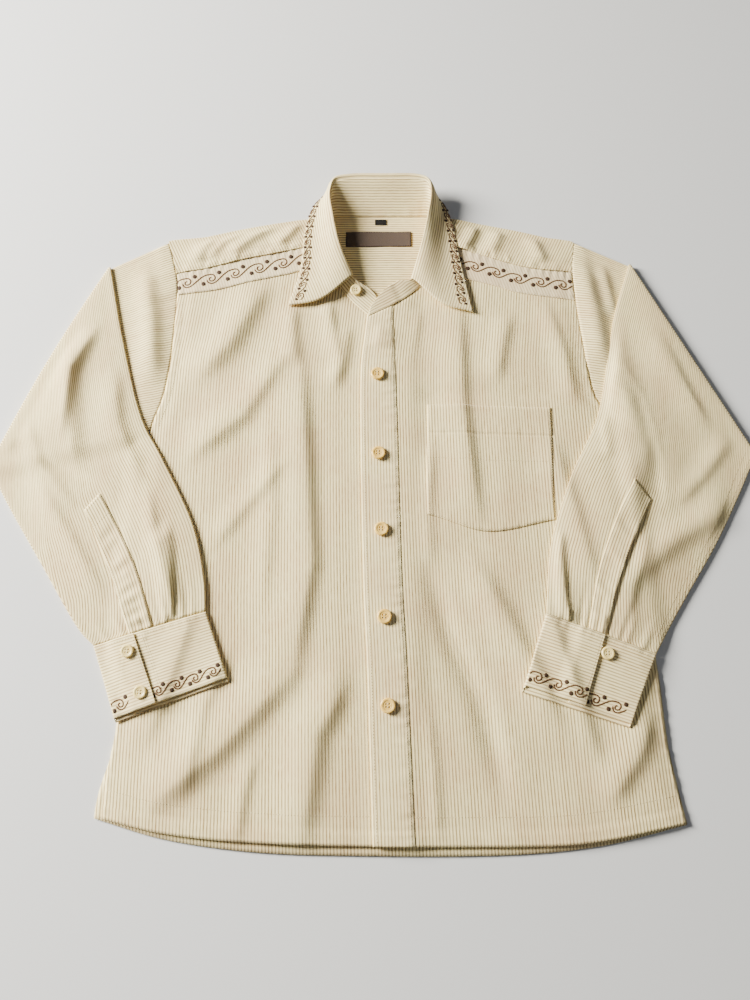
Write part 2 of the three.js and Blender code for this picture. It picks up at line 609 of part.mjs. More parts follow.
// ---- Cuffs: bands with one end lapped over the other ----
const CUFF_LAP = 2.1; // how much higher the lapping end lies
const CUFF_TUCK = 0.16; // how far the lower end runs on under the upper one, as a share of the width
const LAP_FROM = 0.02; // the lapping end lies higher until this far past the hidden end, in shares again
const UNDER_REACH = 1.04; // the lower layer shows below the upper one
function cuffSkin(front, radius) {
  const { outerSeam, innerSeam, outerFoot, innerFoot, split, onTop } = SLEEVES[front].cuff;
  const outerOnTop = onTop === "outer";
  const ends = outerOnTop ? [-CUFF_TUCK, 0] : [0, CUFF_TUCK];
  // u is 0 at the outer edge and 1 at the inner edge; `end` is the end that a top stretch belongs to.
  const path = [
    ...[0, 0.12, 0.3, 0.5, 0.75, 1].map((t) => ({ from: ends[0], t, u: 1, out: 0, level: 1, end: 0 })),
    ...ROUND.map((angle) => ({ u: 1, out: Math.cos(angle), level: Math.sin(angle) })),
    ...[1, 0.88, 0.76, 0.63, 0.5, 0.38, 0.25, 0.12, 0].map((u) => ({ u, out: 0, level: -1 })),
    ...ROUND.map((angle) => ({ u: 0, out: -Math.cos(angle), level: -Math.sin(angle) })),
    ...[1, 0.75, 0.5, 0.3, 0.12, 0].map((t) => ({ from: ends[1], t, u: 0, out: 0, level: 1, end: 1 })),
  ];
  const between = (outer, inner, u) =>
    new THREE.Vector2(mix(outer[0], inner[0], u), mix(outer[1], inner[1], u));
  const across = between(outerSeam, innerSeam, 1).sub(between(outerSeam, innerSeam, 0)).normalize();
  return [0, 0.25, 0.5, 0.75, 1].map((v) => {
    const splitHere = mix(split[0], split[1], v);
    return path.map(({ from, t, u, out, level, end }) => {
      const width = from === undefined ? u : mix(splitHere + from, u, t);
      const reach = v * (level < 0 ? UNDER_REACH : 1);
      const place = between(outerSeam, innerSeam, width).lerp(between(outerFoot, innerFoot, width), reach);
      place.addScaledVector(across, out * radius);
      const isTop = end === (outerOnTop ? 1 : 0);
      const hidden = splitHere + ends[outerOnTop ? 0 : 1];
      const near = outerOnTop
        ? soft(width, hidden - CUFF_TUCK, hidden - LAP_FROM)
        : 1 - soft(width, hidden + LAP_FROM, hidden + CUFF_TUCK);
      const lap = isTop ? CUFF_LAP * near : 0;
      return [place.x, place.y, terrain(front, place.x, place.y) + FUSED_RADIUS + level * radius + lap];
    });
  });
}

// The strip over each sleeve slit takes the points of the sleeve's upper layer, moved out.
const STRIP_CLEAR = 1;
const STRIP_END = 0.985; // it stops just short of the cuff
function sleevePlacket(front) {
  const { placket, way } = SLEEVES[front];
  const { upper } = sleeveShape(front);
  const count = SLEEVE_STEPS - placket.start;
  const skin = (extra) =>
    Array.from({ length: count + 1 }, (_, i) => {
      const t = i / count;
      const s = Math.min((placket.start + i) / SLEEVE_STEPS, STRIP_END);
      const [left, right] = [0, 1].map((edge) => mix(placket.top[edge], placket.foot[edge], t));
      return [0, 1, 2].map((step) => {
        const [x, y, z] = upper(s, { c: mix(left, right, step / 2), out: 0, level: -1 }, FLAT_RADIUS);
        return [x, y, z + STRIP_CLEAR + extra];
      });
    });
  return way > 0 ? shell(skin(0), skin(CLOTH)) : shell(skin(CLOTH), skin(0));
}

["right", "left"].forEach((front) => {
  const { way } = SLEEVES[front];
  const skins = [sleeveSkin(front, FLAT_RADIUS), sleeveSkin(front, FLAT_RADIUS - CLOTH)];
  if (way < 0) skins.reverse();
  add(`sleeve_${front}`, shell(...skins, { loop: true }));
  const bands = [cuffSkin(front, FUSED_RADIUS), cuffSkin(front, FUSED_RADIUS - FUSED)];
  if (way < 0) bands.reverse();
  add(`cuff_${front}`, shell(...bands));
  add(`sleeve_placket_${front}`, sleevePlacket(front));
});

// ---- Buttons: round, with four holes ----
const BUTTON_SIDES = 14;
const HOLE_SIDES = 4;
const HOLE = { radius: 0.055, off: 0.1 }; // as shares of the button's width
function button({ across, height }) {
  const disc = new THREE.Shape().absarc(0, 0, across / 2, 0, 2 * Math.PI);
  const hole = { radius: across * HOLE.radius, off: across * HOLE.off };
  [[1, 1], [-1, 1], [-1, -1], [1, -1]].forEach(([right, up]) => {
    const ring = Array.from({ length: HOLE_SIDES }, (_, i) => {
      const angle = (2 * Math.PI * i) / HOLE_SIDES;
      const [x, y] = [right * hole.off, up * hole.off];
      return new THREE.Vector2(x + hole.radius * Math.cos(angle), y + hole.radius * Math.sin(angle));
    });
    disc.holes.push(new THREE.Path(ring));
  });
  return new THREE.ExtrudeGeometry(disc, { depth: height, bevelEnabled: false, curveSegments: BUTTON_SIDES });
}
// A button lies on the highest point of the cloth under it.
function sew(name, size, [x, y], surface) {
  const reach = size.across / 2;
  const around = [[0, 0], [reach, 0], [-reach, 0], [0, reach], [0, -reach]];
  const seat = Math.max(...around.map(([offX, offY]) => surface(x + offX, y + offY)));
  add(name, button(size), COLOURS.button).position.set(x, y, seat + SEAM);
}
const placketTop = (x, y) => onLeft(x, y) + CLOTH;
[[4.5, 122], [5.5, 24], [8.5, -64], [11.5, -159], [14.5, -249]].forEach((place, i) =>
  sew(`front_button_${i + 1}`, FRONT_BUTTON, place, placketTop),
);
const cuffTop = (front, lap) => (x, y) => terrain(front, x, y) + 2 * FUSED_RADIUS + lap;
sew("cuff_button_right_1", CUFF_BUTTON, [-252.5, -195], cuffTop("right", CUFF_LAP));
sew("cuff_button_right_2", CUFF_BUTTON, [-235.5, -236], cuffTop("right", CUFF_LAP));
sew("cuff_button_left", CUFF_BUTTON, [240.5, -197], cuffTop("left", 0));
const STAND_SLOPE = Math.atan2(3.5, 26); // how steeply the stand rises from the neck seam at its front end
const collarButton = add("collar_button", button(CUFF_BUTTON), COLOURS.button);
collarButton.position.set(-21.5, 234, 7.4);
collarButton.rotation.x = STAND_SLOPE;

// ---- Labels on the inner yoke ----
const LABEL = 0.8;
function label(name, [x0, x1], [y0, y1], finish) {
  const net = netOf([() => x0, () => x1], [() => y0, () => y1]);
  add(name, layer(net, () => CLOTH + SEAM + LINING + SEAM, () => LABEL), finish);
}
label("neck_label", [-34.5, 46.5], [298, 320], COLOURS.label);
label("size_label", [1.5, 15.5], [330, 338.5], COLOURS.size);

export default shirt;
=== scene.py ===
# %% [markdown]
# # A long-sleeved shirt laid on its back
# The shirt is made of sewn pieces of thin striped cloth, and each one is a surface worked out from two
# parameters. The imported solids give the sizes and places. We dress every solid with a fine sheet that
# follows the same lines, and then add what a tailor adds: seams, threads, buttons and embroidery.

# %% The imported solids
import math

import bmesh
import bpy
import mathutils
import numpy as np
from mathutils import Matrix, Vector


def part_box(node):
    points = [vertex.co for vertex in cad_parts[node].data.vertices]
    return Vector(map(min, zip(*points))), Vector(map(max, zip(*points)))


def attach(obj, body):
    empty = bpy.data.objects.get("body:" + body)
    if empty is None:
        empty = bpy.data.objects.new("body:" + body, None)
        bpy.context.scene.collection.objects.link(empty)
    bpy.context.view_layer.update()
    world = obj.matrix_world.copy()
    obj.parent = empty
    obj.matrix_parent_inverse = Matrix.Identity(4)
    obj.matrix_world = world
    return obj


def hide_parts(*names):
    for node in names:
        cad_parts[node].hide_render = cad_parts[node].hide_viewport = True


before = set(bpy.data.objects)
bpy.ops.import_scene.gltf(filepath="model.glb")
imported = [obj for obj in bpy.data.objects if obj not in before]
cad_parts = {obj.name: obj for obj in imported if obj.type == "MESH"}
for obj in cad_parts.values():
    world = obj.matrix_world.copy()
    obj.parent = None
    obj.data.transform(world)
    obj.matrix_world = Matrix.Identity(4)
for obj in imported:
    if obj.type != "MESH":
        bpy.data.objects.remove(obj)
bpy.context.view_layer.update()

MM = 0.001  # the tables below are in millimetres, and Blender's unit is the metre

# %% [markdown]
# ## Smooth lines
# A pattern cutter draws every edge as a smooth line through a few measured marks. `through` does that
# for a line that gives one number from another, and `smooth_path` does it for marks in space.


# %% Lines through measured marks
def mix(a, b, t):
    return a + (b - a) * t


def soft(value, low, high):
    """0 below low, 1 above high, and 3t^2 - 2t^3 between them."""
    t = np.clip((value - low) / (high - low), 0, 1)
    return t * t * (3 - 2 * t)


def bump(value, width):
    """A bell: e to the minus (value / width) squared."""
    return np.exp(-((value / width) ** 2))


def through(marks):
    """A cubic between every two [at, value] marks whose slope at a mark is that of its neighbours' chord."""
    at, value = np.array(marks, float).T
    inner = (value[2:] - value[:-2]) / (at[2:] - at[:-2])
    first, last = (value[1] - value[0]) / (at[1] - at[0]), (value[-1] - value[-2]) / (at[-1] - at[-2])
    slope = np.concatenate([[first], inner, [last]])

    def line(x):
        x = np.asarray(x, float)
        i = np.clip(np.searchsorted(at, x, "right") - 1, 0, len(at) - 2)
        span = at[i + 1] - at[i]
        t = (x - at[i]) / span
        rise, fall, low, high = slope[i] * span, slope[i + 1] * span, value[i], value[i + 1]
        y = (((2 * low - 2 * high + rise + fall) * t - 3 * low + 3 * high - 2 * rise - fall) * t + rise) * t + low
        y = np.where(x < at[0], value[0] + first * (x - at[0]), y)
        return np.where(x > at[-1], value[-1] + last * (x - at[-1]), y)

    return line


def smooth_path(marks, at):
    """Centripetal Catmull-Rom: between two marks a cubic whose tangents weigh each chord by the root of its
    length. `marks` is k x ... x dimensions, and `at` counts marks, so 1.5 is halfway from the second to the
    third."""
    marks = np.asarray(marks, float)
    full = np.concatenate([[2 * marks[0] - marks[1]], marks, [2 * marks[-1] - marks[-2]]])
    gaps = np.sqrt(np.linalg.norm(np.diff(full, axis=0), axis=-1, keepdims=True)) + 1e-9
    at = np.asarray(at, float)
    i = np.clip(np.floor(at).astype(int), 0, len(marks) - 2)
    t = (at - i).reshape(at.shape + (1,) * (marks.ndim - 1))
    p, q, r, s = full[i], full[i + 1], full[i + 2], full[i + 3]
    a, b, c = gaps[i], gaps[i + 1], gaps[i + 2]
    start = ((q - p) / a - (r - p) / (a + b) + (r - q) / b) * b
    end = ((r - q) / b - (s - q) / (b + c) + (s - r) / c) * b
    return (((2 * q - 2 * r + start + end) * t - 3 * q + 3 * r - 2 * start - end) * t + start) * t + q


print("a smooth line through three marks, halfway:", float(through([[0, 0], [1, 1], [2, 0]])(0.5)))

# %% [markdown]
# ## From a grid of points to a piece of cloth
# A sheet is a grid of points, rows by columns. Neighbouring points make four-sided faces, a UV map keeps
# how far each point is across and along the stripes in the flat cloth, and Solidify gives the thickness.
# Threads are many thin tubes at once, so that a whole seam is one mesh.

# %% Meshes from arrays
SKINS = {}  # each sheet's points and normals, for what is sewn on it later


def mesh_from(name, points, faces, uv=None, weld=False):
    """One mesh from n x 3 points in millimetres and m x 4 point numbers; uv is m x 4 x 2, in millimetres."""
    used, faces = np.unique(faces, return_inverse=True)
    faces = faces.reshape(-1, 4)
    mesh = bpy.data.meshes.new(name)
    mesh.vertices.add(len(used))
    mesh.vertices.foreach_set("co", (points[used] * MM).astype(np.float32).ravel())
    mesh.loops.add(faces.size)
    mesh.loops.foreach_set("vertex_index", faces.astype(np.int32).ravel())
    mesh.polygons.add(len(faces))
    mesh.polygons.foreach_set("loop_start", np.arange(0, faces.size, 4, dtype=np.int32))
    mesh.update(calc_edges=True)
    mesh.polygons.foreach_set("use_smooth", np.ones(len(faces), bool))
    if uv is not None:
        mesh.uv_layers.new(name="cloth").data.foreach_set("uv", (uv * MM).astype(np.float32).ravel())
    if weld:
        made = bmesh.new()
        made.from_mesh(mesh)
        bmesh.ops.remove_doubles(made, verts=made.verts, dist=1e-7)
        bmesh.ops.recalc_face_normals(made, faces=made.faces)
        made.to_mesh(mesh)
        made.free()
    piece = bpy.data.objects.new(name, mesh)
    bpy.context.scene.collection.objects.link(piece)
    return piece


def cells(rows, columns, loop=False, keep=None):
    """The four corners of each cell of a grid, and the same corners in the flat cloth's grid, which has one
    column more if the sheet loops."""
    r, c = np.meshgrid(np.arange(rows - 1), np.arange(columns - (not loop)), indexing="ij")
    r, c = (r[keep], c[keep]) if keep is not None else (r.ravel(), c.ravel())

    def corners(after, wide):
        return np.stack([r * wide + c, r * wide + after, (r + 1) * wide + after, (r + 1) * wide + c], -1)

    return corners((c + 1) % columns, columns), corners(c + 1, columns + loop)


def normals_of(points, loop=False):
    """Across the columns times along the rows, as a cross product, made one long."""
    across = (np.roll(points, -1, 1) - np.roll(points, 1, 1)) if loop else np.gradient(points, axis=1)
    normal = np.cross(across, np.gradient(points, axis=0))
    return normal / (np.linalg.norm(normal, axis=-1, keepdims=True) + 1e-9)


def dressed(piece, finish, nodes=()):
    piece.data.materials.append(finish)
    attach(piece, "root")
    if nodes:
        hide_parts(*nodes)


def cloth(name, points, flat, finish, up_at, thick=0.8, offset=-1, loop=False, keep=None):
    """A sheet through `points`: they are its outer skin, or its middle when the offset is 0. `flat` says how
    far each point is across and along the stripes, and `up_at` names a point whose normal has to point up."""
    rows, columns = points.shape[:2]
    normals = normals_of(points, loop)
    faces, corners = cells(rows, columns, loop, keep)
    uv = flat.reshape(-1, 2)[corners]
    if normals[up_at][2] < 0:
        normals, faces, uv = -normals, faces[:, ::-1], uv[:, ::-1]
    piece = mesh_from(name, points.reshape(-1, 3), faces, uv)
    wall = piece.modifiers.new("thickness", "SOLIDIFY")
    wall.thickness, wall.offset, wall.use_rim = thick * MM, offset, True
    SKINS[name] = (points + normals * (thick * (1 + offset) / 2), normals)
    dressed(piece, finish, (name.removesuffix("_cloth"),))
    print(f"{name}: {rows} x {columns} points")


def tubes(centres, sides, outs, width, height, ring=6, taper=0.1):
    """n threads of k points: an ellipse width across and height thick about each point. It closes to a point
    at both ends, as the root of how near the end is; a taper of None makes a ball-shaped dot instead."""
    n, k = centres.shape[:2]
    t = np.linspace(0, 1, k)
    near = 1 - (2 * t - 1) ** 2 if taper is None else np.clip(np.minimum(t, 1 - t) / taper, 0, 1)
    angle = 2 * np.pi * np.arange(ring) / ring
    round_it = np.sqrt(near)[None, :, None, None]
    sideways = sides[:, :, None] * (np.cos(angle) * width / 2)[:, None]
    upwards = outs[:, :, None] * (np.sin(angle) * height / 2)[:, None]
    points = centres[:, :, None] + round_it * (sideways + upwards)
    faces = cells(k, ring, loop=True)[0] + (np.arange(n) * k * ring)[:, None, None]
    return points.reshape(-1, 3), faces.reshape(-1, 4)


def joined(parts):
    """Several (points, faces) as one."""
    start = np.cumsum([0] + [len(points) for points, _ in parts])
    faces = [faces + first for (_, faces), first in zip(parts, start)]
    return np.concatenate([points for points, _ in parts]), np.concatenate(faces)


def sample(grid, row, column):
    """The value between grid points: the four round (row, column), each weighted by how near it is."""
    row, column = np.clip(row, 0, grid.shape[0] - 1.001), np.clip(column, 0, grid.shape[1] - 1.001)
    r, c = row.astype(int), column.astype(int)
    down, over = (row - r)[..., None], (column - c)[..., None]
    upper = grid[r, c] * (1 - over) + grid[r, c + 1] * over
    return upper * (1 - down) + (grid[r + 1, c] * (1 - over) + grid[r + 1, c + 1] * over) * down


print("helpers for sheets and threads are ready")

# %% [markdown]
# ## Finishes
# The shirting is a cream weave with fine darker stripes, 3.3 mm from one to the next. Each stripe is a
# little stronger or weaker than its neighbour, and slubs, the thicker places of a thread, break them up.
# All of it reads the UV map, so it follows the cloth round folds and along sleeves.


# %% A small way to write node trees
class Tree:
    """A material's nodes, where every call makes one node and gives back its first output."""

    def __init__(self, name, **sockets):
        self.material = bpy.data.materials.new(name)
        self.material.use_nodes = True
        self.nodes, self.links = self.material.node_tree.nodes, self.material.node_tree.links
        self.shader = self.nodes["Principled BSDF"]
        for socket, value in sockets.items():
            self.shader.inputs[socket.replace("_", " ")].default_value = value

    def put(self, value, socket):
        if isinstance(value, bpy.types.NodeSocket):
            self.links.new(value, socket)
        else:
            socket.default_value = value

    def node(self, kind, inputs, out=0, **settings):
        made = self.nodes.new("ShaderNode" + kind)
        for setting, value in settings.items():
            setattr(made, setting, value)
        for key, value in inputs.items():
            self.put(value, made.inputs[key])
        return made.outputs[out]

    def math(self, operation, a, b=0.0, c=0.0):
        return self.node("Math", {0: a, 1: b, 2: c}, operation=operation)

    def noise(self, vector, scale, detail=2.0):
        return self.node("TexNoise", {"Vector": vector, "Scale": scale, "Detail": detail})

    def blend(self, amount, a, b):
        return self.node("Mix", {0: amount, 6: a, 7: b}, out=2, data_type="RGBA")

    def step(self, value, low, high, to_low=0.0, to_high=1.0):
        names = ["Value", "From Min", "From Max", "To Min", "To Max"]
        ends = dict(zip(names, [value, low, high, to_low, to_high]))
        return self.node("MapRange", ends, interpolation_type="SMOOTHSTEP")

    def paint(self, colour):
        self.put(colour, self.shader.inputs["Base Color"])

    def relief(self, strength, depth, height):
        lifted = self.node("Bump", {"Strength": strength, "Distance": depth, "Height": height})
        self.put(lifted, self.shader.inputs["Normal"])


def linear(code):
    """An sRGB colour such as "e6dfc4" as Blender's linear numbers."""
    srgb = np.array([int(code[i : i + 2], 16) for i in (0, 2, 4)]) / 255
    return (*np.where(srgb < 0.04045, srgb / 12.92, ((srgb + 0.055) / 1.055) ** 2.4), 1.0)


# %% Shirting
STRIPE = 0.0033  # metres from one stripe to the next
WEAVE_DEPTH = 0.00022


def shirting(name, ground, stripe, strength):
    """Stripe: how near the place across the stripes is to a line every 3.3 mm, wobbling with the slubs."""
    tree = Tree(name, Roughness=0.86, Sheen_Weight=0.12, Sheen_Roughness=0.5, Specular_IOR_Level=0.25)
    place = tree.node("UVMap", {}, uv_map="cloth")
    split = tree.nodes.new("ShaderNodeSeparateXYZ")
    tree.links.new(place, split.inputs[0])
    across, along = split.outputs[0], split.outputs[1]

    def drawn_out(times_across, times_along, detail):
        """Noise whose grains are long one way and short the other."""
        ways = {0: tree.math("MULTIPLY", across, times_across), 1: tree.math("MULTIPLY", along, times_along)}
        return tree.noise(tree.node("CombineXYZ", ways), 1.0, detail)

    slubs = drawn_out(2600.0, 90.0, 3.0)  # along the warp threads
    weft = drawn_out(120.0, 2300.0, 2.0)
    # The stripe: 0 on its line and 0.5 halfway to the next, turned into a soft-edged band.
    turns = tree.math("DIVIDE", across, STRIPE)
    sway = tree.math("MULTIPLY", tree.math("SUBTRACT", slubs, 0.5), 0.25)
    near = tree.math("PINGPONG", tree.math("ADD", turns, sway), 0.5)
    line = tree.step(near, 0.16, 0.42)
    # Each stripe has its own strength, and the slubs break it up.
    number = tree.math("FLOOR", tree.math("ADD", turns, 0.5))
    each = tree.node("TexWhiteNoise", {"W": number}, noise_dimensions="1D")
    uneven = tree.math("MULTIPLY_ADD", each, 0.35, 0.72)
    broken = tree.step(slubs, 0.3, 0.62, 0.55, 1.0)
    amount = tree.math("MULTIPLY", tree.math("MULTIPLY", line, uneven), tree.math("MULTIPLY", broken, strength))
    colour = tree.blend(amount, ground, stripe)
    # Faint warm, darker clouds at random places, and the grain of the threads.
    clouds = tree.step(tree.noise(place, 17.0, 3.0), 0.35, 0.7)
    colour = tree.blend(clouds, colour, tree.blend(0.22, colour, linear("b98468")))
    grain = tree.math("MULTIPLY_ADD", weft, 0.16, tree.math("MULTIPLY_ADD", slubs, 0.14, 0.85))
    grey = tree.node("CombineColor", {0: grain, 1: grain, 2: grain})
    tree.paint(tree.node("Mix", {0: 1.0, 6: colour, 7: grey}, out=2, data_type="RGBA", blend_type="MULTIPLY"))
    height = tree.math("ADD", tree.math("MULTIPLY", line, 0.5), tree.math("MULTIPLY_ADD", weft, 0.45, slubs))
    tree.relief(0.55, WEAVE_DEPTH, height)
    return tree.material


body_cloth = shirting("striped_shirting", linear("f7e7ae"), linear("8a7144"), 1.05)
smooth_cloth = shirting("band_shirting", linear("e8d8ae"), linear("a08a5a"), 0.6)
crisp_cloth = shirting("fused_shirting", linear("f8e9b2"), linear("9c8250"), 1.0)
print("shirting in three strengths of stripe")


# %% Threads, buttons and labels
FINE = 0.0001  # metres that the finest relief is deep


def thread(name, colour, valley_shade):
    """Twisted cotton: fine waves of relief, and painted shade in their valleys, where the colour turns to the
    darker one.
    """
    tree = Tree(name, Roughness=0.7, Sheen_Weight=0.04, Specular_IOR_Level=0.2)
    place = tree.node("TexCoord", {}, out=3)
    twist = tree.noise(place, 1400.0, 2.0)
    # Painted shade: the darker colour where the twist's relief is low.
    tree.paint(tree.blend(tree.step(twist, 0.35, 0.7), valley_shade, colour))
    tree.relief(0.5, FINE, twist)
    return tree.material


def plastic(name, colour, cloudy):
    """Cast polyester: soft clouds of two tones under a glossy skin."""
    tree = Tree(name, Roughness=0.32, Coat_Weight=0.25, Coat_Roughness=0.2, Specular_IOR_Level=0.45)
    place = tree.node("TexCoord", {}, out=3)
    tree.paint(tree.blend(tree.step(tree.noise(place, 260.0, 3.0), 0.3, 0.7), colour, cloudy))
    tree.relief(0.12, FINE, tree.noise(place, 2100.0, 1.0))
    return tree.material


def ribbon(name, ground, rib_highlight):
    """Woven ribbon: two waves across each other, one for the ribs and a finer one for the warps, and a painted
    highlight, the lighter colour, where they are high.
    """
    tree = Tree(name, Roughness=0.7, Sheen_Weight=0.03, Specular_IOR_Level=0.2)
    place = tree.node("UVMap", {}, uv_map="cloth")
    ribs = tree.node("TexWave", {"Vector": place, "Scale": 700.0, "Distortion": 1.2, "Detail": 1.0}, out=1)
    warps = tree.node("TexWave", {"Vector": place, "Scale": 900.0, "Distortion": 0.8}, out=1, bands_direction="Y")
    height = tree.math("MULTIPLY_ADD", warps, 0.5, ribs)
    # Painted highlight: the lighter colour on the tops of the ribs.
    tree.paint(tree.blend(tree.step(height, 0.3, 1.2), ground, rib_highlight))
    tree.relief(0.5, FINE, height)
    return tree.material


# The second colour of each thread is painted shade for the valleys of its twist.
scroll_thread = thread("scroll_thread", linear("6c4e34"), linear("493322"))
dot_thread = thread("dot_thread", linear("4b3626"), linear("2e2016"))
sewing_thread = thread("sewing_thread", linear("e2d7b4"), linear("a3936b"))
front_plastic = plastic("front_button_plastic", linear("eec76a"), linear("dab052"))
pale_plastic = plastic("pale_button_plastic", linear("f2de98"), linear("e2c878"))
# The second colour of each ribbon is a painted highlight on its ribs.
label_ribbon = ribbon("label_ribbon", linear("3c312a"), linear("5c4f46"))
size_ribbon = ribbon("size_ribbon", linear("060506"), linear("0d0c0c"))
edge_thread = thread("label_edge_thread", linear("352a26"), linear("1c1615"))
print("threads, plastics and ribbons are ready")

# %% [markdown]
# ## The outlines
# The body's two sides, the hem, the shoulder fold and the seams are lines through marks in millimetres:
# x grows to the wearer's left and y to the collar. The same marks shaped the solids.

# %% Outlines
CLOTH, SEAM = 1.2, 0.3  # how thick the solids' walls are, and how far apart at a seam
FLAT, FUSED_FLAT = 1.5, 1.85  # half the height of a flattened sleeve and of a flattened cuff
FOLD_CENTRE = 3.2  # the height about which a sleeve folds over
SIDE_REST, FRONT_RISE, FRONT_LAP = 1.5, 1.4, 1.9  # a front's side, its middle over that, the left one's lap
HEM_DEPTH = 14
YOKE_FOOT, NECK_SEAM, ARMHOLE_TOP = 216, 341, 303  # y
NECK_RIGHT, NECK_LEFT = -66, 84  # x of the neck's two corners
UNDERARM = {"right": 56, "left": 78}
ON_FRONT, PLACKET_LIES, YOKE_LIES = 1.15, 1.0, 1.75  # how far the bands, placket and yoke are over a front
UNDER_STAND = 9  # how far a front runs on under the foot of the collar stand
UNDER_ARMHOLE = 0.9  # and under the edge of a sleeve
side_line = {
    "right": through([
        [-361, -264.5], [-320, -264], [-262, -258.5], [20, -256.5], [56, -252], [95, -241.5], [135, -236.5],
        [173, -235.5], [243, -236.5], [278, -244.5], [304, -252.5],
    ]),
    "left": through([
        [-361, 304.5], [-320, 298.5], [-287, 294.5], [-203, 291.5], [73, 263.5], [101, 252.5], [161, 246.5],
        [231, 241.5], [269, 241.5], [304, 246.5],
    ]),
}
back_hem = through([[-272, -355], [-206, -373], [-128, -384], [-51, -387.8], [122, -388], [218, -380], [304, -361]])
front_hem = through([[-264, -355], [-206, -368], [-128, -376], [0, -380], [160, -380], [218, -376], [304, -360]])
shoulder_fold = through([
    [-252, 303], [-212, 312], [-165, 324], [-116, 334], [-84, 339], [8, 341.5], [96, 340], [132, 332], [181, 321],
    [246, 303],
])
yoke_seam = {
    "right": through([[-240, 257], [-210, 264], [-153, 280], [-112, 289], [-66, 301]]),
    "left": through([[84, 300], [105, 294], [131, 285], [160, 275], [192, 266], [241, 260]]),
}
placket_edge = through([
    [-378, -0.5], [-292, -3.5], [-205, -6.5], [-125, -10.5], [44, -14.5], [132, -14.5], [182, -9.5],
])
placket_seam = through([[-378, 40.5], [-205, 34.5], [-111, 30.5], [61, 27.5], [132, 25.5]])
right_edge = through([[-378, 34], [-200, 31], [0, 27], [130, 20], [198, 4]])
neck_line = {
    "right": through([[-66, 301], [-61, 276], [-48, 243], [-26, 216], [-6, 197], [30, 188]]),
    "left": through([[-14, 190], [-3, 195], [20, 207], [43, 222], [62, 243], [77, 274], [84, 300]]),
}
band_foot = {
    "right": through([
        [-240, 229], [-190, 236], [-149, 247], [-104, 258], [-72, 262], [-58, 236], [-24, 196], [30, 168],
    ]),
    "left": through([
        [-14, 176], [18, 186], [40, 196], [58, 213], [78, 246], [106, 251], [141, 243], [175, 232], [241, 222],
    ]),
}
pocket_left = through([[-378, 74], [-47, 58.5], [85, 61.5], [230, 64]])
pocket_right = through([[-378, 222], [-53, 198.5], [81, 202.5], [230, 200]])
pocket_foot = through([[-14, -40], [58.5, -47], [124.5, -66], [198.5, -53], [290, -45]])
pocket_top = through([[-14, 86], [61.5, 85], [202.5, 81], [290, 80]])


def constant(value):
    """A line that is the same everywhere."""

    def line(at):
        return value + 0 * at

    return line


def front_head(front):
    """The top of a front: its neckline near the middle, and its yoke seam beyond the neck corner."""

    def line(x):
        beyond = NECK_RIGHT - x if front == "right" else x - NECK_LEFT
        under_stand = UNDER_STAND * soft(-beyond, 0, 12)
        return np.where(beyond > 0, yoke_seam[front](x), neck_line[front](x) + under_stand)

    return line


def by_sleeve(front, y):
    """0 below the underarm, and 1 from 8 mm above it, where the sleeve is sewn on."""
    return soft(y, UNDERARM[front], UNDERARM[front] + 8)


def front_side(front):
    """The side of a front, moved out under the sleeve's edge above the underarm."""
    out = -UNDER_ARMHOLE if front == "right" else UNDER_ARMHOLE

    def line(y):
        return side_line[front](y) + out * by_sleeve(front, y)

    return line


def patch(left, right, foot, head, columns, rows):
    """Where a share u between two side lines meets a share v between two cross lines: each is worked out from
    the other in turn, until both hold."""
    u, v = np.meshgrid(np.linspace(0, 1, columns), np.linspace(0, 1, rows))
    y = mix(-300.0, 200.0, v)
    for _ in range(16):
        x = mix(left(y), right(y), u)
        y = mix(foot(x), head(x), v)
    return x, y


print("body", round(float(side_line["left"](-100) - side_line["right"](-100))), "mm wide below the arms")

# %% [markdown]
# ## How high the fronts lie
# A laid shirt isn't flat. Long soft folds run down from the chest and fan out to the hem, steeper on one
# side than on the other. Each is a ridge along a line through measured marks; troughs have a height
# below nothing. Sewn edges draw the cloth up into small puckers.

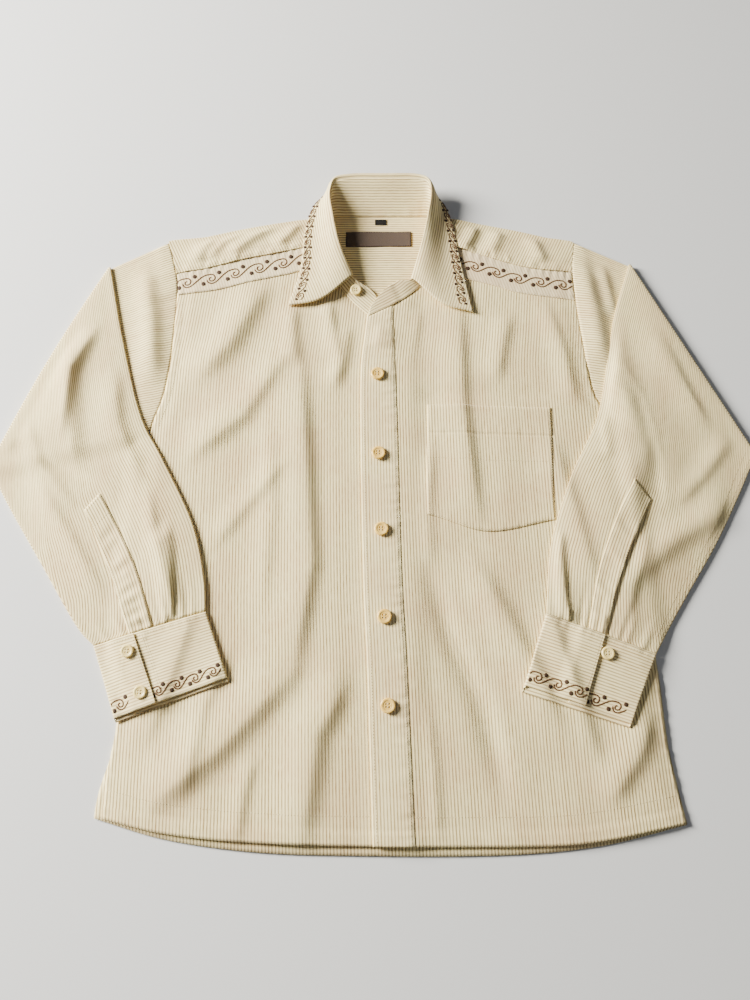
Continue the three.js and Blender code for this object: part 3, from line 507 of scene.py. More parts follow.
# %% Folds of the fronts
# Each row: the path, the height, and how wide the slope is on the +x side and on the other one.
FOLDS = {
    "right": [
        ([[-88, 142], [-77, 17], [-68, -100], [-84, -213]], 5, 10, 30),
        ([[-84, -213], [-153, -287], [-218, -340]], 6, 14, 32),
        ([[-22, -215], [-58, -275], [-72, -377]], 5.5, 13, 28),
        ([[-133, 242], [-150, 205], [-172, 162], [-205, 122]], 5.6, 14, 24),
        ([[-107, 148], [-150, 72], [-205, 26]], 4.2, 11, 22),
    ],
    "left": [
        ([[100, 215], [101, 80], [112, -50]], 3.6, 9, 22),
        ([[103, -98], [133, -152], [161, -208], [187, -277]], 4.6, 12, 22),
        ([[281, -258], [261, -296], [231, -335]], 4.4, 11, 20),
    ],
}
CREASES = {
    "right": [
        ([[-99, 17], [-136, -30], [-171, -76]], 2.2, 8, 14),
        ([[-55, 222], [-50, 185], [-44, 148]], 2.8, 7, 12),
        ([[-97, 214], [-96, 176], [-93, 140]], 3.0, 8, 14),
        ([[-28, 186], [-33, 150], [-46, 110]], 3.8, 8, 12),
        ([[-190, -150], [-205, -210], [-228, -280]], 2.2, 8, 16),
        ([[-120, -300], [-128, -335], [-132, -372]], 2.2, 6, 12),
        ([[-118, 60], [-112, -40], [-118, -140]], 1.8, 8, 16),
        ([[-150, -190], [-172, -250], [-186, -330]], 1.8, 7, 14),
    ],
    "left": [
        ([[60, -114], [81, -183], [108, -243], [129, -329]], -3.2, 12, 12),
        ([[52, 205], [46, 170], [34, 130]], 2.8, 6, 12),
        ([[36, 97], [111, 100], [191, 95]], -1.2, 12, 12),
        ([[200, 40], [215, -30], [232, -120]], 3.0, 9, 18),
        ([[180, -150], [200, -220], [222, -300]], 3.2, 9, 18),
        ([[52, -250], [58, -310], [60, -372]], 2.6, 7, 12),
        ([[160, 200], [150, 160], [142, 120]], 2.8, 8, 16),
        ([[62, 30], [56, -40], [58, -100]], 2.4, 8, 14),
        ([[205, 215], [222, 150], [230, 90]], 2.6, 8, 14),
    ],
}


def ridge(x, y, path, height, steep, long):
    """Height times a bell of the distance to the path, narrow on its +x side, and fading out at both ends."""
    path = np.array(path, float)
    gap, side, place = np.full(np.shape(x), np.inf), np.zeros(np.shape(x)), np.zeros(np.shape(x))
    for i, (start, end) in enumerate(zip(path[:-1], path[1:])):
        run = end - start
        t = ((x - start[0]) * run[0] + (y - start[1]) * run[1]) / (run @ run)
        t = np.clip(t, -1 if i == 0 else 0, 2 if i == len(path) - 2 else 1)
        off_x, off_y = x - start[0] - t * run[0], y - start[1] - t * run[1]
        away = np.hypot(off_x, off_y)
        near = away < gap
        gap, side = np.where(near, away, gap), np.where(near, off_x, side)
        place = np.where(near, (i + t) / (len(path) - 1), place)
    ends = soft(place, -0.15, 0.25) * (1 - soft(place, 0.8, 1.15))
    width = mix(long, steep, soft(side, -3, 3))
    return height * bump(gap, width) * ends


def inside(front, x, y):
    return x - side_line["right"](y) if front == "right" else side_line["left"](y) - x


def front_top(front, x, y):
    """The top of a front: its rest height, plus its folds away from the sides and the placket."""
    lift = sum(ridge(x, y, *fold) for fold in FOLDS[front] + CREASES[front])
    calm = 1 - soft(x, -45, -12) if front == "right" else soft(x, 38, 70)
    lap = FRONT_LAP * (1 - soft(x, 38, 62)) if front == "left" else 0
    deep = inside(front, x, y)
    return SIDE_REST + FRONT_RISE * soft(deep, 0, 20) + lift * calm * soft(deep, 2, 26) + lap + CLOTH


def ripple(at, seed):
    """An uneven wave along a seam: three sines whose lengths share no measure."""
    return (
        np.sin(at / 1.35 + seed) * (0.6 + 0.4 * np.sin(at / 17 + seed))
        + 0.7 * np.sin(at / 2.3 + 2 * seed)
        + 0.5 * np.sin(at / 4.1 + 3 * seed)
    ) / 2


WAVES = np.random.default_rng(7).uniform([-1, -0.35, 0], [1, 0.35, 2 * np.pi], (9, 3))


def rumple(x, y):
    """Slow waves over the whole cloth, mostly across it, as cloth keeps from being folded and worn."""
    return sum(np.sin(x * a / 9 + y * b / 11 + c) for a, b, c in WAVES) / 9


NECK_ROLL = ([[10, 186], [4, 158]], 2.0, 16, 9)  # the left front's edge rolls up a little below the collar
ALLOWANCE = 7  # how wide the turned-in cloth beside a seam is


def puckers(front, x, y):
    """Small waves beside the seams, strongest at the seam and gone a few millimetres away, and the turned-in
    cloth beside the armhole and at the hem."""
    near_yoke = bump(y - yoke_seam[front](x), 9) * ripple(x, 1.0) * 0.6
    deep = inside(front, x, y)
    rough = 0.8 * rumple(x, y) + 0.6 * bump(deep, 7) * ripple(y * 1.1, 2.0)
    if front == "left":
        rough = rough + 0.32 * bump(x - placket_seam(y), 7) * ripple(y + 0.4 * x, 4.0)
        rough = rough + ridge(x, y, *NECK_ROLL)
        below_pocket = bump(y - pocket_foot(x), 6) * soft(x, 58, 62) * (1 - soft(x, 200, 204))
        rough = rough + 0.25 * below_pocket * ripple(x, 5.0)
    rough = rough + 0.45 * (1 - soft(deep, ALLOWANCE - 1, ALLOWANCE + 0.5)) * by_sleeve(front, y)
    hem = y - front_hem(x)
    turned = 0.6 * (1 - soft(hem, HEM_DEPTH - 2, HEM_DEPTH)) - 0.25 * bump(hem - HEM_DEPTH, 1.5)
    return rough + near_yoke + turned + 0.25 * bump(hem - HEM_DEPTH / 2, 8) * ripple(x + hem, 3.0)


def tucked(front, x, y):
    """1 where a front has gone in under the collar stand, and 0 below the neck seam."""
    near_neck = (x > NECK_RIGHT) & (x < NECK_LEFT)
    return soft(y - neck_line[front](x), 4.6, 7) * near_neck


def front_skin(front, x, y, raised=0.0):
    """A front's height, its small waves and what is raised on it, less 0.9 mm where it is tucked under."""
    z = front_top(front, x, y) + puckers(front, x, y) + raised - 0.9 * tucked(front, x, y)
    return np.stack([x, y, z], -1)


print("highest front fold", round(float(front_top("right", np.array(-150.0), np.array(-285.0))), 1), "mm")

# %% [markdown]
# ## Back, yoke and fronts
# The back lies flat on the table. The yoke starts on it, turns over each shoulder and comes down to
# the front seams. Each front is one patch between its side, its edge, the hem and its head.


# %% Back
def upright(x, y):
    """Stripes along y, leaning with the placket as the fronts do."""
    return np.stack([x - placket_edge(y), y], -1)


def back_left(y):
    """The right side line, which the back passes by 7.5 mm at the hem."""
    return side_line["right"](y) - 7.5 * (1 - soft(y, -350, -290))


x, y = patch(back_left, side_line["left"], back_hem, constant(YOKE_FOOT - SEAM), 150, 130)
above_hem = y - back_hem(x)
turned = 0.35 * (1 - soft(above_hem, HEM_DEPTH - 2, HEM_DEPTH)) + 0.12 * ripple(x, 8.0) * bump(above_hem, 12)
cloth("back_cloth", np.stack([x, y, 0.95 + turned], -1), upright(x, y), body_cloth, (5, 5), thick=0.6)

# %% Yoke
# Across the shirt the columns follow the armholes at both ends; along each column the skin runs flat on
# the table, round the shoulder fold in a half circle, and down to the front seam.
yoke_x = np.concatenate([
    np.linspace(-236, NECK_RIGHT, 70),
    np.linspace(NECK_RIGHT, NECK_LEFT, 40)[1:-1],
    np.linspace(NECK_LEFT, 241, 66),
])
over_right = yoke_x < 5


def armhole_x(x, y):
    """x at the neck, moving out to the armhole line towards the ends."""
    right = soft(-x, 206, 236) * (side_line["right"](y) - x)
    left = soft(x, 211, 241) * (side_line["left"](y) - x)
    return x + right + left


YOKE_DRAPES = [
    ([[-120, 334], [-150, 310], [-175, 286]], 2.6, 7, 12),
    ([[-92, 334], [-104, 316], [-118, 300]], 2.4, 6, 10),
    ([[-154, 326], [-184, 304], [-200, 284]], 2.0, 6, 9),
    ([[-196, 314], [-210, 292], [-218, 274]], 2.4, 7, 11),
    ([[106, 334], [100, 318], [98, 302]], 1.8, 6, 9),
    ([[128, 330], [120, 310], [110, 292]], 2.8, 6, 11),
    ([[156, 322], [150, 304], [143, 288]], 2.2, 7, 11),
    ([[196, 312], [200, 294], [206, 276]], 2.2, 7, 11),
]
fold_y = shoulder_fold(yoke_x) - FLAT
under = np.linspace(0, 1, 30)[:, None]
low_y = mix(YOKE_FOOT, fold_y, under)
low = np.stack([armhole_x(yoke_x, low_y), low_y, 0 * low_y], -1)
angle = np.linspace(0, np.pi, 10)[1:-1, None]
turn_y = fold_y + FLAT * np.sin(angle)
turn = np.stack([armhole_x(yoke_x, fold_y + 0 * angle), turn_y, FLAT - FLAT * np.cos(angle) + 0 * turn_y], -1)
over = np.linspace(0, 1, 34)[:, None]
seam_y = np.where(over_right, yoke_seam["right"](yoke_x), yoke_seam["left"](yoke_x))
top_y = mix(fold_y, seam_y, over)
top_x = armhole_x(yoke_x, top_y)
front_z = np.where(over_right, front_top("right", top_x, top_y), front_top("left", top_x, top_y))
drape = 1.2 * rumple(top_x * 1.3, top_y * 2) + 1.35 * sum(ridge(top_x, top_y, *fold) for fold in YOKE_DRAPES)
above_seam = top_y - seam_y
gathered = bump(above_seam - 5, 4.5) * ripple(top_x, 6.0) * 0.95
gathered = gathered + 0.4 * (1 - soft(above_seam, ALLOWANCE, ALLOWANCE + 1.2))
top_z = mix(2 * FLAT, front_z + YOKE_LIES, soft(over, 0.0, 0.9)) + (drape + gathered) * soft(over, 0, 0.3)
top = np.stack([top_x, top_y, top_z], -1)
yoke_points = np.concatenate([low, turn, top])
keep = np.ones((len(yoke_points) - 1, len(yoke_x) - 1), bool)
keep[len(low) + 3 :, (yoke_x[:-1] > NECK_RIGHT - 0.01) & (yoke_x[:-1] < NECK_LEFT - 0.01)] = False
# The front ends of the yoke are cut along the shoulders, so their stripes lean outwards.
lean = np.where(over_right, 0.42, -0.42)
flat = np.stack([0.91 * yoke_points[..., 0] + lean * yoke_points[..., 1], yoke_points[..., 1]], -1)
cloth("yoke_cloth", yoke_points, flat, body_cloth, (-5, 10), keep=keep)

# %% Inner yoke, seen through the neck, with its stripes across
x, y = patch(constant(-56), constant(73), constant(YOKE_FOOT + 1), constant(NECK_SEAM + 1.6), 70, 64)
crease = 0.5 * ridge(x, y, [[28, 320], [18, 290], [34, 250]], 1, 8, 14) + 0.25 * rumple(x * 1.5, y * 2)
points = np.stack([x, y, 2.35 + crease * 0.6], -1)
cloth("yoke_lining_cloth", points, np.stack([y, x], -1), body_cloth, (5, 5))

# %% Fronts
x, y = patch(front_side("right"), right_edge, front_hem, front_head("right"), 96, 214)
cloth("front_right_cloth", front_skin("right", x, y), upright(x, y), body_cloth, (20, 20))
x, y = patch(placket_edge, front_side("left"), front_hem, front_head("left"), 100, 214)
cloth("front_left_cloth", front_skin("left", x, y), upright(x, y), body_cloth, (20, 20))

# %% [markdown]
# ## Pieces sewn on the fronts
# The placket, the pocket and the two embroidered bands lie on the fronts, so each takes the front's own
# height plus its thickness. Their edges are turned in and stitched, so they dip a little at the rim.


# %% Placket, pocket and bands
def rim(rows, columns, width=2.5):
    """How far a patch dips near its four edges, in cells: a bell of the distance to the nearest one."""
    r, c = np.meshgrid(np.arange(rows), np.arange(columns), indexing="ij")
    edge = np.minimum(np.minimum(r, rows - 1 - r), np.minimum(c, columns - 1 - c))
    return bump(edge, width)


def placket_head(x):
    return neck_line["left"](x) + UNDER_STAND


x, y = patch(placket_edge, placket_seam, front_hem, placket_head, 34, 320)
across = (x - placket_edge(y)) / (placket_seam(y) - placket_edge(y))
draw = 0.5 * bump(0.9 - across, 0.24) * ripple(y * 0.9, 9.0) + 0.15 * bump(across, 0.1) * ripple(y, 11.0)
draw = draw * soft(1 - across, 0, 0.08)
sewn_down = 0.45 * soft(across, 0.84, 1)
placket_z = PLACKET_LIES - 0.4 * rim(320, 34, 1.4) - sewn_down + draw - 0.6 * tucked("left", x, y)
cloth("placket_cloth", front_skin("left", x, y, placket_z), upright(x, y), crisp_cloth, (20, 20))

x, y = patch(pocket_left, pocket_right, pocket_foot, pocket_top, 110, 104)
hem_line = y - (pocket_top(x) - 35)
stitched = -0.55 * bump(hem_line, 1.1) + 0.35 * soft(hem_line, 0, 2)
slack = 0.25 * ripple(x, 13.0) * bump(hem_line - 3, 7) + 0.3 * rumple(x * 1.4, y)
gapes = 0.7 * bump(pocket_top(x) - y, 9) * bump(x - 95, 16)
pocket_z = 1.35 - 0.8 * rim(104, 110, 1.3) + stitched + slack + gapes
cloth("pocket_cloth", front_skin("left", x, y, pocket_z), upright(x, y), body_cloth, (20, 20), thick=0.7)


def band(front, left, right):
    """The strip between the band's foot line and the yoke seam, on the front's height."""

    def head(x):
        return yoke_seam[front](x) + 1.2

    x, y = patch(left, right, band_foot[front], head, 150, 30)
    near_head = 0.3 * ripple(x, 15.0) * bump((y - head(x)) + 4, 7)
    near_foot = 0.2 * ripple(x, 16.0) * bump(y - band_foot[front](x), 7)
    points = front_skin(front, x, y, ON_FRONT - 0.5 * rim(30, 150, 1.2) + near_head + near_foot)
    cloth(f"band_{front}_cloth", points, np.stack([x * 0.95 + y * 0.3, y], -1), smooth_cloth, (10, 10))


band("right", side_line["right"], constant(NECK_RIGHT - 2))
band("left", constant(NECK_LEFT + 2), side_line["left"])

# %% [markdown]
# ## Collar
# A stand rises from the neck seam, and a leaf is sewn on near its top. The leaf rolls over the crest
# and falls outwards to two points. Round the neck, each station has three marks: the seam, the crest
# and the leaf's outer edge.

# %% Collar
COLLAR = np.array([
    [[0, 196, 3.5], [9, 216, 3.6], [0, 0, 0]],
    [[-14, 209, 3.5], [-2, 235, 4.6], [0, 0, 0]],
    [[-26, 221, 3.5], [-14, 243, 6.8], [0, 0, 0]],
    [[-45, 248, 3.5], [-25, 250.5, 12], [-102, 212.5, 7.4]],
    [[-58, 281, 3.5], [-41, 290, 19], [-89, 262, 7.6]],
    [[-61, 318, 3.3], [-50, 331, 23], [-84, 318, 8]],
    [[-57, 338, 2.8], [-54, 362, 25], [-72, 358, 8]],
    [[-47, 342.5, 2.2], [-49, 381.5, 26], [-52, 373, 6]],
    [[-32, 342.5, 2.2], [-33, 386.8, 26], [-36, 358, 1.4]],
    [[10, 342.5, 2.2], [12, 387.9, 26], [12, 352, 1.4]],
    [[52, 342.5, 2.2], [55, 386.8, 26], [57, 358, 1.4]],
    [[66, 342.5, 2.2], [67, 381, 26], [72, 373, 6]],
    [[76, 338, 2.8], [71, 365, 25], [86, 358, 8]],
    [[79, 318, 3.3], [67, 334, 23], [97, 326, 8]],
    [[76, 281, 3.8], [59, 295, 19], [106, 270, 7.8]],
    [[62, 249, 5.2], [45.5, 247, 12.5], [118, 204, 7.6]],
    [[41, 227, 5.4], [31, 246, 9.4], [0, 0, 0]],
    [[20, 213, 5.4], [13, 233.5, 8.6], [0, 0, 0]],
    [[-7, 199, 5.4], [-4, 211, 6.6], [0, 0, 0]],
])
LEAF_FROM, STAND_TOP = 0.85, 0.92  # shares of the way up: where the leaf starts and the stand ends
ROLL, LEAF_BOW, LEAF_SINK = 4.0, 11, 4.2  # how far the leaf stands off, and its middle bows and sinks
NECK_CENTRE = np.array([10, 275, 0])


def length_along(points, axis):
    """How far each point is from the first along one way of the grid."""
    steps = np.linalg.norm(np.diff(points, axis=axis), axis=-1)
    first = np.zeros_like(np.take(steps, [0], axis))
    return np.concatenate([first, np.cumsum(steps, axis)], axis)


stations = np.linspace(0, len(COLLAR) - 1, 230)
foot, crest = smooth_path(COLLAR[:, 0], stations), smooth_path(COLLAR[:, 1], stations)
from_end = np.minimum(stations, len(COLLAR) - 1 - stations)
reach = mix(1, STAND_TOP, soft(from_end, 2, 3))
share = np.linspace(0, 1, 30)[:, None]
stand_points = mix(foot, crest, share[..., None] * reach[:, None])
inwards = (NECK_CENTRE - foot) * [1, 1, 0]
inwards = inwards / np.linalg.norm(inwards, axis=-1, keepdims=True)
stand_points += inwards * (1.5 * soft(share, 0.6, 0.88) * soft(from_end, 2, 3))[..., None]
# Its foot lies on the right front at one end, and on the placket at the other.
on_right = front_top("right", foot[:, 0], foot[:, 1]) - 0.2
on_left = front_top("left", foot[:, 0], foot[:, 1]) - 0.25 + PLACKET_LIES * (1 - soft(foot[:, 0], 26, 34))
lies_at = np.where(stations < 9, on_right, on_left)
lift = (lies_at - foot[:, 2]) * (1 - soft(from_end, 3.2, 4.2))
stand_points[..., 2] += lift
gather = ripple(length_along(foot[None], 1)[0] * 0.8, 2.0) * 0.35
stand_points[..., 2] += gather * bump(share, 0.25) * soft(from_end, 2, 4)
flat = np.stack([length_along(stand_points, 0), length_along(stand_points, 1)], -1)
cloth("collar_stand_cloth", stand_points, flat, crisp_cloth, (12, 115), thick=1.0, offset=0)

# The leaf starts above the stand, passes the crest, stands off behind the roll and falls to its edge.
leaf_marks = COLLAR[3:16]
leaf_at = np.linspace(0, len(leaf_marks) - 1, 210)
foot, crest, edge = (smooth_path(leaf_marks[:, i], leaf_at) for i in range(3))
rise = (crest - foot) / np.linalg.norm(crest - foot, axis=-1, keepdims=True)
away = (foot - NECK_CENTRE) * [1, 1, 0]
away = away - rise * (away * rise).sum(-1, keepdims=True)
away = away / np.linalg.norm(away, axis=-1, keepdims=True)
from_end = np.minimum(leaf_at, len(leaf_marks) - 1 - leaf_at)[:, None] * 2
start = mix(foot, crest, LEAF_FROM)
shoulder = crest - 3 * rise + ROLL * away
middle = mix(crest, edge, 0.5) + away * (1.6 * soft(from_end, 0, 4) + 0.8)
middle[:, 1] -= LEAF_BOW * (1 - soft(from_end[:, 0], 0, 3))
middle[:, 2] -= LEAF_SINK * soft(from_end[:, 0], 0, 3)
down = np.concatenate([
    np.linspace(0, 1, 8)[:-1], np.linspace(1, 2, 9)[:-1], np.linspace(2, 3, 22)[:-1], np.linspace(3, 4, 22),
])
leaf_points = smooth_path(np.stack([start, crest, shoulder, middle, edge]), down)
flat = np.stack([length_along(leaf_points, 0), length_along(leaf_points, 1)], -1)
cloth("collar_leaf_cloth", leaf_points, flat, crisp_cloth, (40, 8), thick=1.4, offset=0)

# %% [markdown]
# ## Sleeves
# A sleeve is a tube pressed flat: two layers with rounded edges. It leaves the armhole, folds forward
# about a line from the shoulder to the elbow, and comes back over the front to its cuff. One trip round
# the tube is a ring of places: across one layer, round the edge, back on the other, round again.

# %% Sleeve tables
# inner, outer: the marks of the upper layer's two edges, from the fold line to the cuff. split: where a
# cuff's ends meet, as shares of its width at the seam and at the foot. placket: the strip's two edges as
# shares of the layer, at its top and its foot. ridges: begin and end as shares along and across, height,
# width. pleat: its share across at its apex and at the cuff, its way, and the share along where it begins.
SLEEVES = {
    "right": {
        "way": -1, "shoulder": [-323.5, 267], "elbow": [-429.5, 10], "bow": 5, "pleat": (0.2, 0.29, -1, 0.76),
        "inner": [
            [-323.5, 267], [-297.5, 166], [-264.5, 64], [-238.5, 19],
            [-196.5, -62], [-180.5, -123], [-177.2, -154.0],
        ],
        "outer": [[-429.5, 10], [-411.5, -21], [-356.5, -101], [-305.5, -173], [-289.4, -188.0]],
        "cuff": {"outer_seam": [-289, -188.5], "inner_seam": [-177, -154.5], "outer_foot": [-259.5, -261],
                 "inner_foot": [-150.5, -222], "split": [0.36, 0.375], "on_top": "outer"},
        "placket": ([0.46, 0.6], [0.465, 0.68]),
        "ridges": [([0.08, 0.35], [0.36, 0.52], 3, 0.07)],
        "shoulder_folds": [([[-277, 264], [-265, 195], [-256, 122]], 5.6, 11, 15)],
        "creases": [
            ([[-330, 180], [-350, 125], [-352, 45]], 5.0, 8, 26),
            ([[-420, 40], [-385, 28], [-315, -10]], -2.6, 8, 8),
            ([[-300, 120], [-290, 60], [-262, 0]], 3.0, 8, 18),
            ([[-372, -10], [-330, -70], [-290, -130]], 2.6, 7, 14),
            ([[-250, -20], [-232, -80], [-214, -140]], 2.2, 6, 12),
            ([[-392, 60], [-372, 10], [-330, -36]], 2.4, 7, 14),
        ],
    },
    "left": {
        "way": 1, "shoulder": [314, 271], "elbow": [429.5, 23], "bow": 0, "pleat": (0.02, 0.2, 1, 0.8),
        "inner": [
            [314, 271], [288.5, 197], [272.5, 128], [256.5, 68], [220.5, -4], [193.5, -79], [182.2, -156.0],
        ],
        "outer": [[429.5, 23], [403.5, -24], [370.5, -79], [325.5, -144], [290.4, -196.6]],
        "cuff": {"outer_seam": [290, -197], "inner_seam": [182, -156.5], "outer_foot": [256.5, -266],
                 "inner_foot": [153.5, -232], "split": [0.465, 0.43], "on_top": "inner"},
        "placket": ([0.37, 0.53], [0.38, 0.54]),
        "shoulder_folds": [
            ([[254, 272], [262, 205], [266, 140]], 5.4, 14, 16),
            ([[277, 268], [282, 235], [286, 205]], 3.0, 7, 8),
        ],
        "ridges": [([0.26, 0.02], [0.46, 0.44], 4.5, 0.08), ([0.3, 0.96], [0.72, 0.64], 3, 0.07)],
        "creases": [
            ([[266, 140], [280, 84], [286, 16], [285, -40]], 5.0, 16, 14),
            ([[291, 132], [309, 90], [323, 20], [322, -36]], 2.2, 28, 8),
            ([[258, 70], [262, 40], [260, 20]], 2.2, 8, 6),
            ([[381, -44], [331, -73], [262, -128]], 1.8, 10, 14),
            ([[340, 180], [352, 120], [372, 60]], 3.0, 8, 20),
            ([[300, -60], [280, -110], [262, -160]], 2.0, 6, 12),
            ([[398, 40], [366, 0], [336, -30]], 2.4, 7, 12),
        ],
    },
}
SLEEVE_REST = 3.4  # how high the sleeve's own first part stands
ARMHOLE_CLEAR, UNDER_SLEEVE = 0.1, 0.7  # the gaps beside the armhole and over the front
SETTLE = 26  # how far from a step the cloth over it is down again


def higher(a, b):
    """The higher of two heights, rounded where they cross: half of their sum and of a root, which is that of
    their gap squared and a little more."""
    return (a + b + np.sqrt((a - b) ** 2 + 0.6)) / 2


def terrain(front, x, y):
    """The top of what lies under a folded sleeve: the sleeve's own first part, or the body, or the table."""
    sleeve = SLEEVES[front]
    way, underarm, elbow = sleeve["way"], UNDERARM[front], np.array(sleeve["elbow"])
    deep = -way * (x - side_line[front](y))
    armpit = np.array([float(side_line[front](underarm)), underarm])
    run = elbow - armpit
    past = -way * (run[1] * (x - armpit[0]) - run[0] * (y - armpit[1])) / np.hypot(*run)
    on_sleeve = SLEEVE_REST * soft(past, -SETTLE, -2.5)
    edge = SIDE_REST + CLOTH + 0.5
    on_body = np.where(deep < 0, edge * soft(deep, -SETTLE, -0.5), front_top(front, x, y) + UNDER_SLEEVE)
    beside = SLEEVE_REST * (1 - soft(deep, 0, 20)) * (on_sleeve / SLEEVE_REST)
    return higher(np.where(deep < 0, on_sleeve, beside), on_body)


def edge_line(marks):
    """A smooth line through marks, by its share of the whole length."""
    fine = smooth_path(np.array(marks, float), np.linspace(0, len(marks) - 1, 400))
    far = length_along(fine[None], 1)[0]

    def line(s):
        return np.stack([np.interp(s, far / far[-1], fine[:, i]) for i in range(2)], -1)

    return line


print("sleeve marks:", {name: len(s["inner"]) + len(s["outer"]) for name, s in SLEEVES.items()})


# %% The ring and the sleeve's skin
ACROSS = 62  # places across one layer


def ring_places():
    """c across a layer, how far out round an edge, and -1 for the layer that ends on top or +1 for the other.
    The trip starts at the underarm seam, c = 1, and passes the top fold, c = 0, halfway."""
    c, none = np.linspace(0, 1, ACROSS), np.zeros(ACROSS)
    turn = np.radians([60, 30, 0, -30, -60])
    return (
        np.concatenate([c[::-1], np.zeros(5), c, np.ones(5)]),
        np.concatenate([none, -np.cos(turn), none, np.cos(turn)]),
        np.concatenate([none - 1, -np.sin(turn), none + 1, np.sin(turn)]),
    )


def unit(vector):
    return vector / np.linalg.norm(vector, axis=-1, keepdims=True)


def folds_on_sleeve(sleeve, s, c, x, y):
    """Ridges across the upper layer, the pleat that runs into the cuff, and gathers beside the cuff seam."""
    total = 0
    for begin, end, height, width in sleeve["ridges"]:
        run = np.subtract(end, begin)
        t = ((s - begin[0]) * run[0] + (c - begin[1]) * run[1]) / (run @ run)
        gap = np.hypot(s - begin[0] - t * run[0], c - begin[1] - t * run[1])
        total = total + height * bump(gap, width) * soft(t, -0.2, 0.2) * (1 - soft(t, 0.8, 1.2))
    apex, foot, way, begin = sleeve["pleat"]
    down = (s - begin) / (1 - begin)
    past = (c - mix(apex, foot, down)) * way
    lee = 1 - soft(past, 0, mix(0.09, 0.02, soft(down, 0, 1)))
    step = 3.4 * soft(past, -0.16, 0) * lee * soft(down, -0.12, 0.08)
    step = step * (1 - 0.8 * soft(down, 0.92, 1))
    gathers = ripple(c * 110, 5.0) * 1.15 * soft(s, 0.86, 0.99)
    creases = sum(ridge(x, y, *crease) for crease in sleeve["creases"])
    return total + step + gathers + creases * soft(s, 0.02, 0.12) * (1 - soft(s, 0.93, 1))


def sleeve_skin(front):
    """The tube in three parts: under the fold, from the armhole to the fold line; half a turn about that
    line; and over it, to the cuff seam. Each place is a mix of a part's ends, moved out round the ring."""
    sleeve = SLEEVES[front]
    way, bow = sleeve["way"], sleeve["bow"]
    shoulder, elbow = np.array(sleeve["shoulder"]), np.array(sleeve["elbow"])
    crease = unit(elbow - shoulder)
    outward = np.array([-way * crease[1], way * crease[0]])
    c, out, level = ring_places()
    axis = mix(shoulder, elbow, c[:, None]) + outward * (bow * np.sin(np.pi * c) - FOLD_CENTRE)[:, None]
    armhole_y = mix(ARMHOLE_TOP, UNDERARM[front], c)
    armhole = np.stack([side_line[front](armhole_y) + way * ARMHOLE_CLEAR, armhole_y], -1)
    # Under the fold, from the armhole to the fold line.
    s = np.linspace(0, 1, 40)[:, None, None]
    place = mix(armhole, axis, s)
    whole = unit(mix(armhole[0] - armhole[ACROSS - 1], axis[0] - axis[ACROSS - 1], s))
    place = place + whole * (out * FLAT)[:, None]
    puffed = 0.5 * ripple(armhole_y * 1.1, 2.0) * bump(s[..., 0], 0.12) + 0.7 * bump(s[..., 0] - 0.16, 0.1)
    band_end = band_foot[front](side_line[front](225))
    beside_yoke = soft(ARMHOLE_TOP - armhole_y, 0, 40) * soft(armhole_y, band_end - 4, band_end + 8)
    beside_yoke = beside_yoke * (1 - soft(s[..., 0], 0, 0.4))
    puffed = puffed - 0.45 * bump(s[..., 0], 0.03) + 1.3 * beside_yoke
    puffed = puffed + sum(ridge(place[..., 0], place[..., 1], *fold) for fold in sleeve["shoulder_folds"])
    under = np.concatenate([place, (FLAT + level * FLAT + puffed * (level > 0.9))[..., None]], -1)
    # Round the fold line, half a turn.
    angle = np.linspace(0, np.pi, 12)[1:-1, None]
    lever = FOLD_CENTRE - FLAT - level * FLAT
    spot = axis + crease * (out * FLAT)[:, None]
    bent = spot + outward * (lever * np.sin(angle))[..., None]
    turn = np.concatenate([bent, (FOLD_CENTRE - lever * np.cos(angle))[..., None]], -1)
    # Over the fold, from the fold line to the cuff seam.
    s = np.linspace(0, 1, 118)[:, None]
    start = edge_line(sleeve["inner"])(s) - outward * FOLD_CENTRE * (1 - s)[..., None]
    end = edge_line(sleeve["outer"])(s) - outward * FOLD_CENTRE * (1 - s)[..., None]
    place = mix(start, end, c[:, None]) + unit(end - start) * (out * FLAT)[:, None]
    place = place + outward * (bow * np.sin(np.pi * c) * (1 - s) ** 2)[..., None]
    x, y = place[..., 0], place[..., 1]
    hump = np.clip(np.sin(np.pi * c), 0, 1) ** 0.8
    hump = hump * np.clip(np.sin(np.pi * np.minimum(s * 1.02, 1)), 0, 1) ** 0.6
    calm = soft(s, 0, 0.08) * soft(np.minimum(c, 1 - c), 0, 0.06)
    folds = folds_on_sleeve(sleeve, s, c, x, y) + rumple(x, y * 0.6)
    rise = (1 - level) / 2 * (4 * hump + folds * calm)
    over = np.concatenate([place, (terrain(front, x, y) + FLAT - level * FLAT + rise)[..., None]], -1)
    points = np.concatenate([under, turn, over])
    round_it = length_along(np.concatenate([points, points[:, :1]], 1), 1)
    along = length_along(points, 0)[:, ACROSS // 2][:, None]
    flat = np.stack([round_it - round_it[:, ACROSS + 2 : ACROSS + 3], along + 0 * round_it], -1)
    return points, flat, over


SLEEVE_GRIDS = {}
for front in SLEEVES:
    points, flat, SLEEVE_GRIDS[front] = sleeve_skin(front)
    cloth(f"sleeve_{front}_cloth", points, flat, body_cloth, (-30, 30), thick=0.7, loop=True)

# %% [markdown]
# ## Cuffs and sleeve plackets
# A cuff is a stiff band whose two ends lap on top. On the right one the outer end is buttoned over the
# inner end; on the left one the inner end lies open over the button. A narrow placket strip is sewn over
# the slit above each cuff, on the upper layer of the sleeve.

# %% Cuffs
CUFF_LAP, CUFF_TUCK = 2.1, 0.16  # how high the lapping end lies, and the share tucked under it
UNDER_REACH = 1.055  # how deep the lower layer is, in depths of the cuff
LAP_SHORT = {"right": 0, "left": 0.03}  # and how much shallower the lapping end is


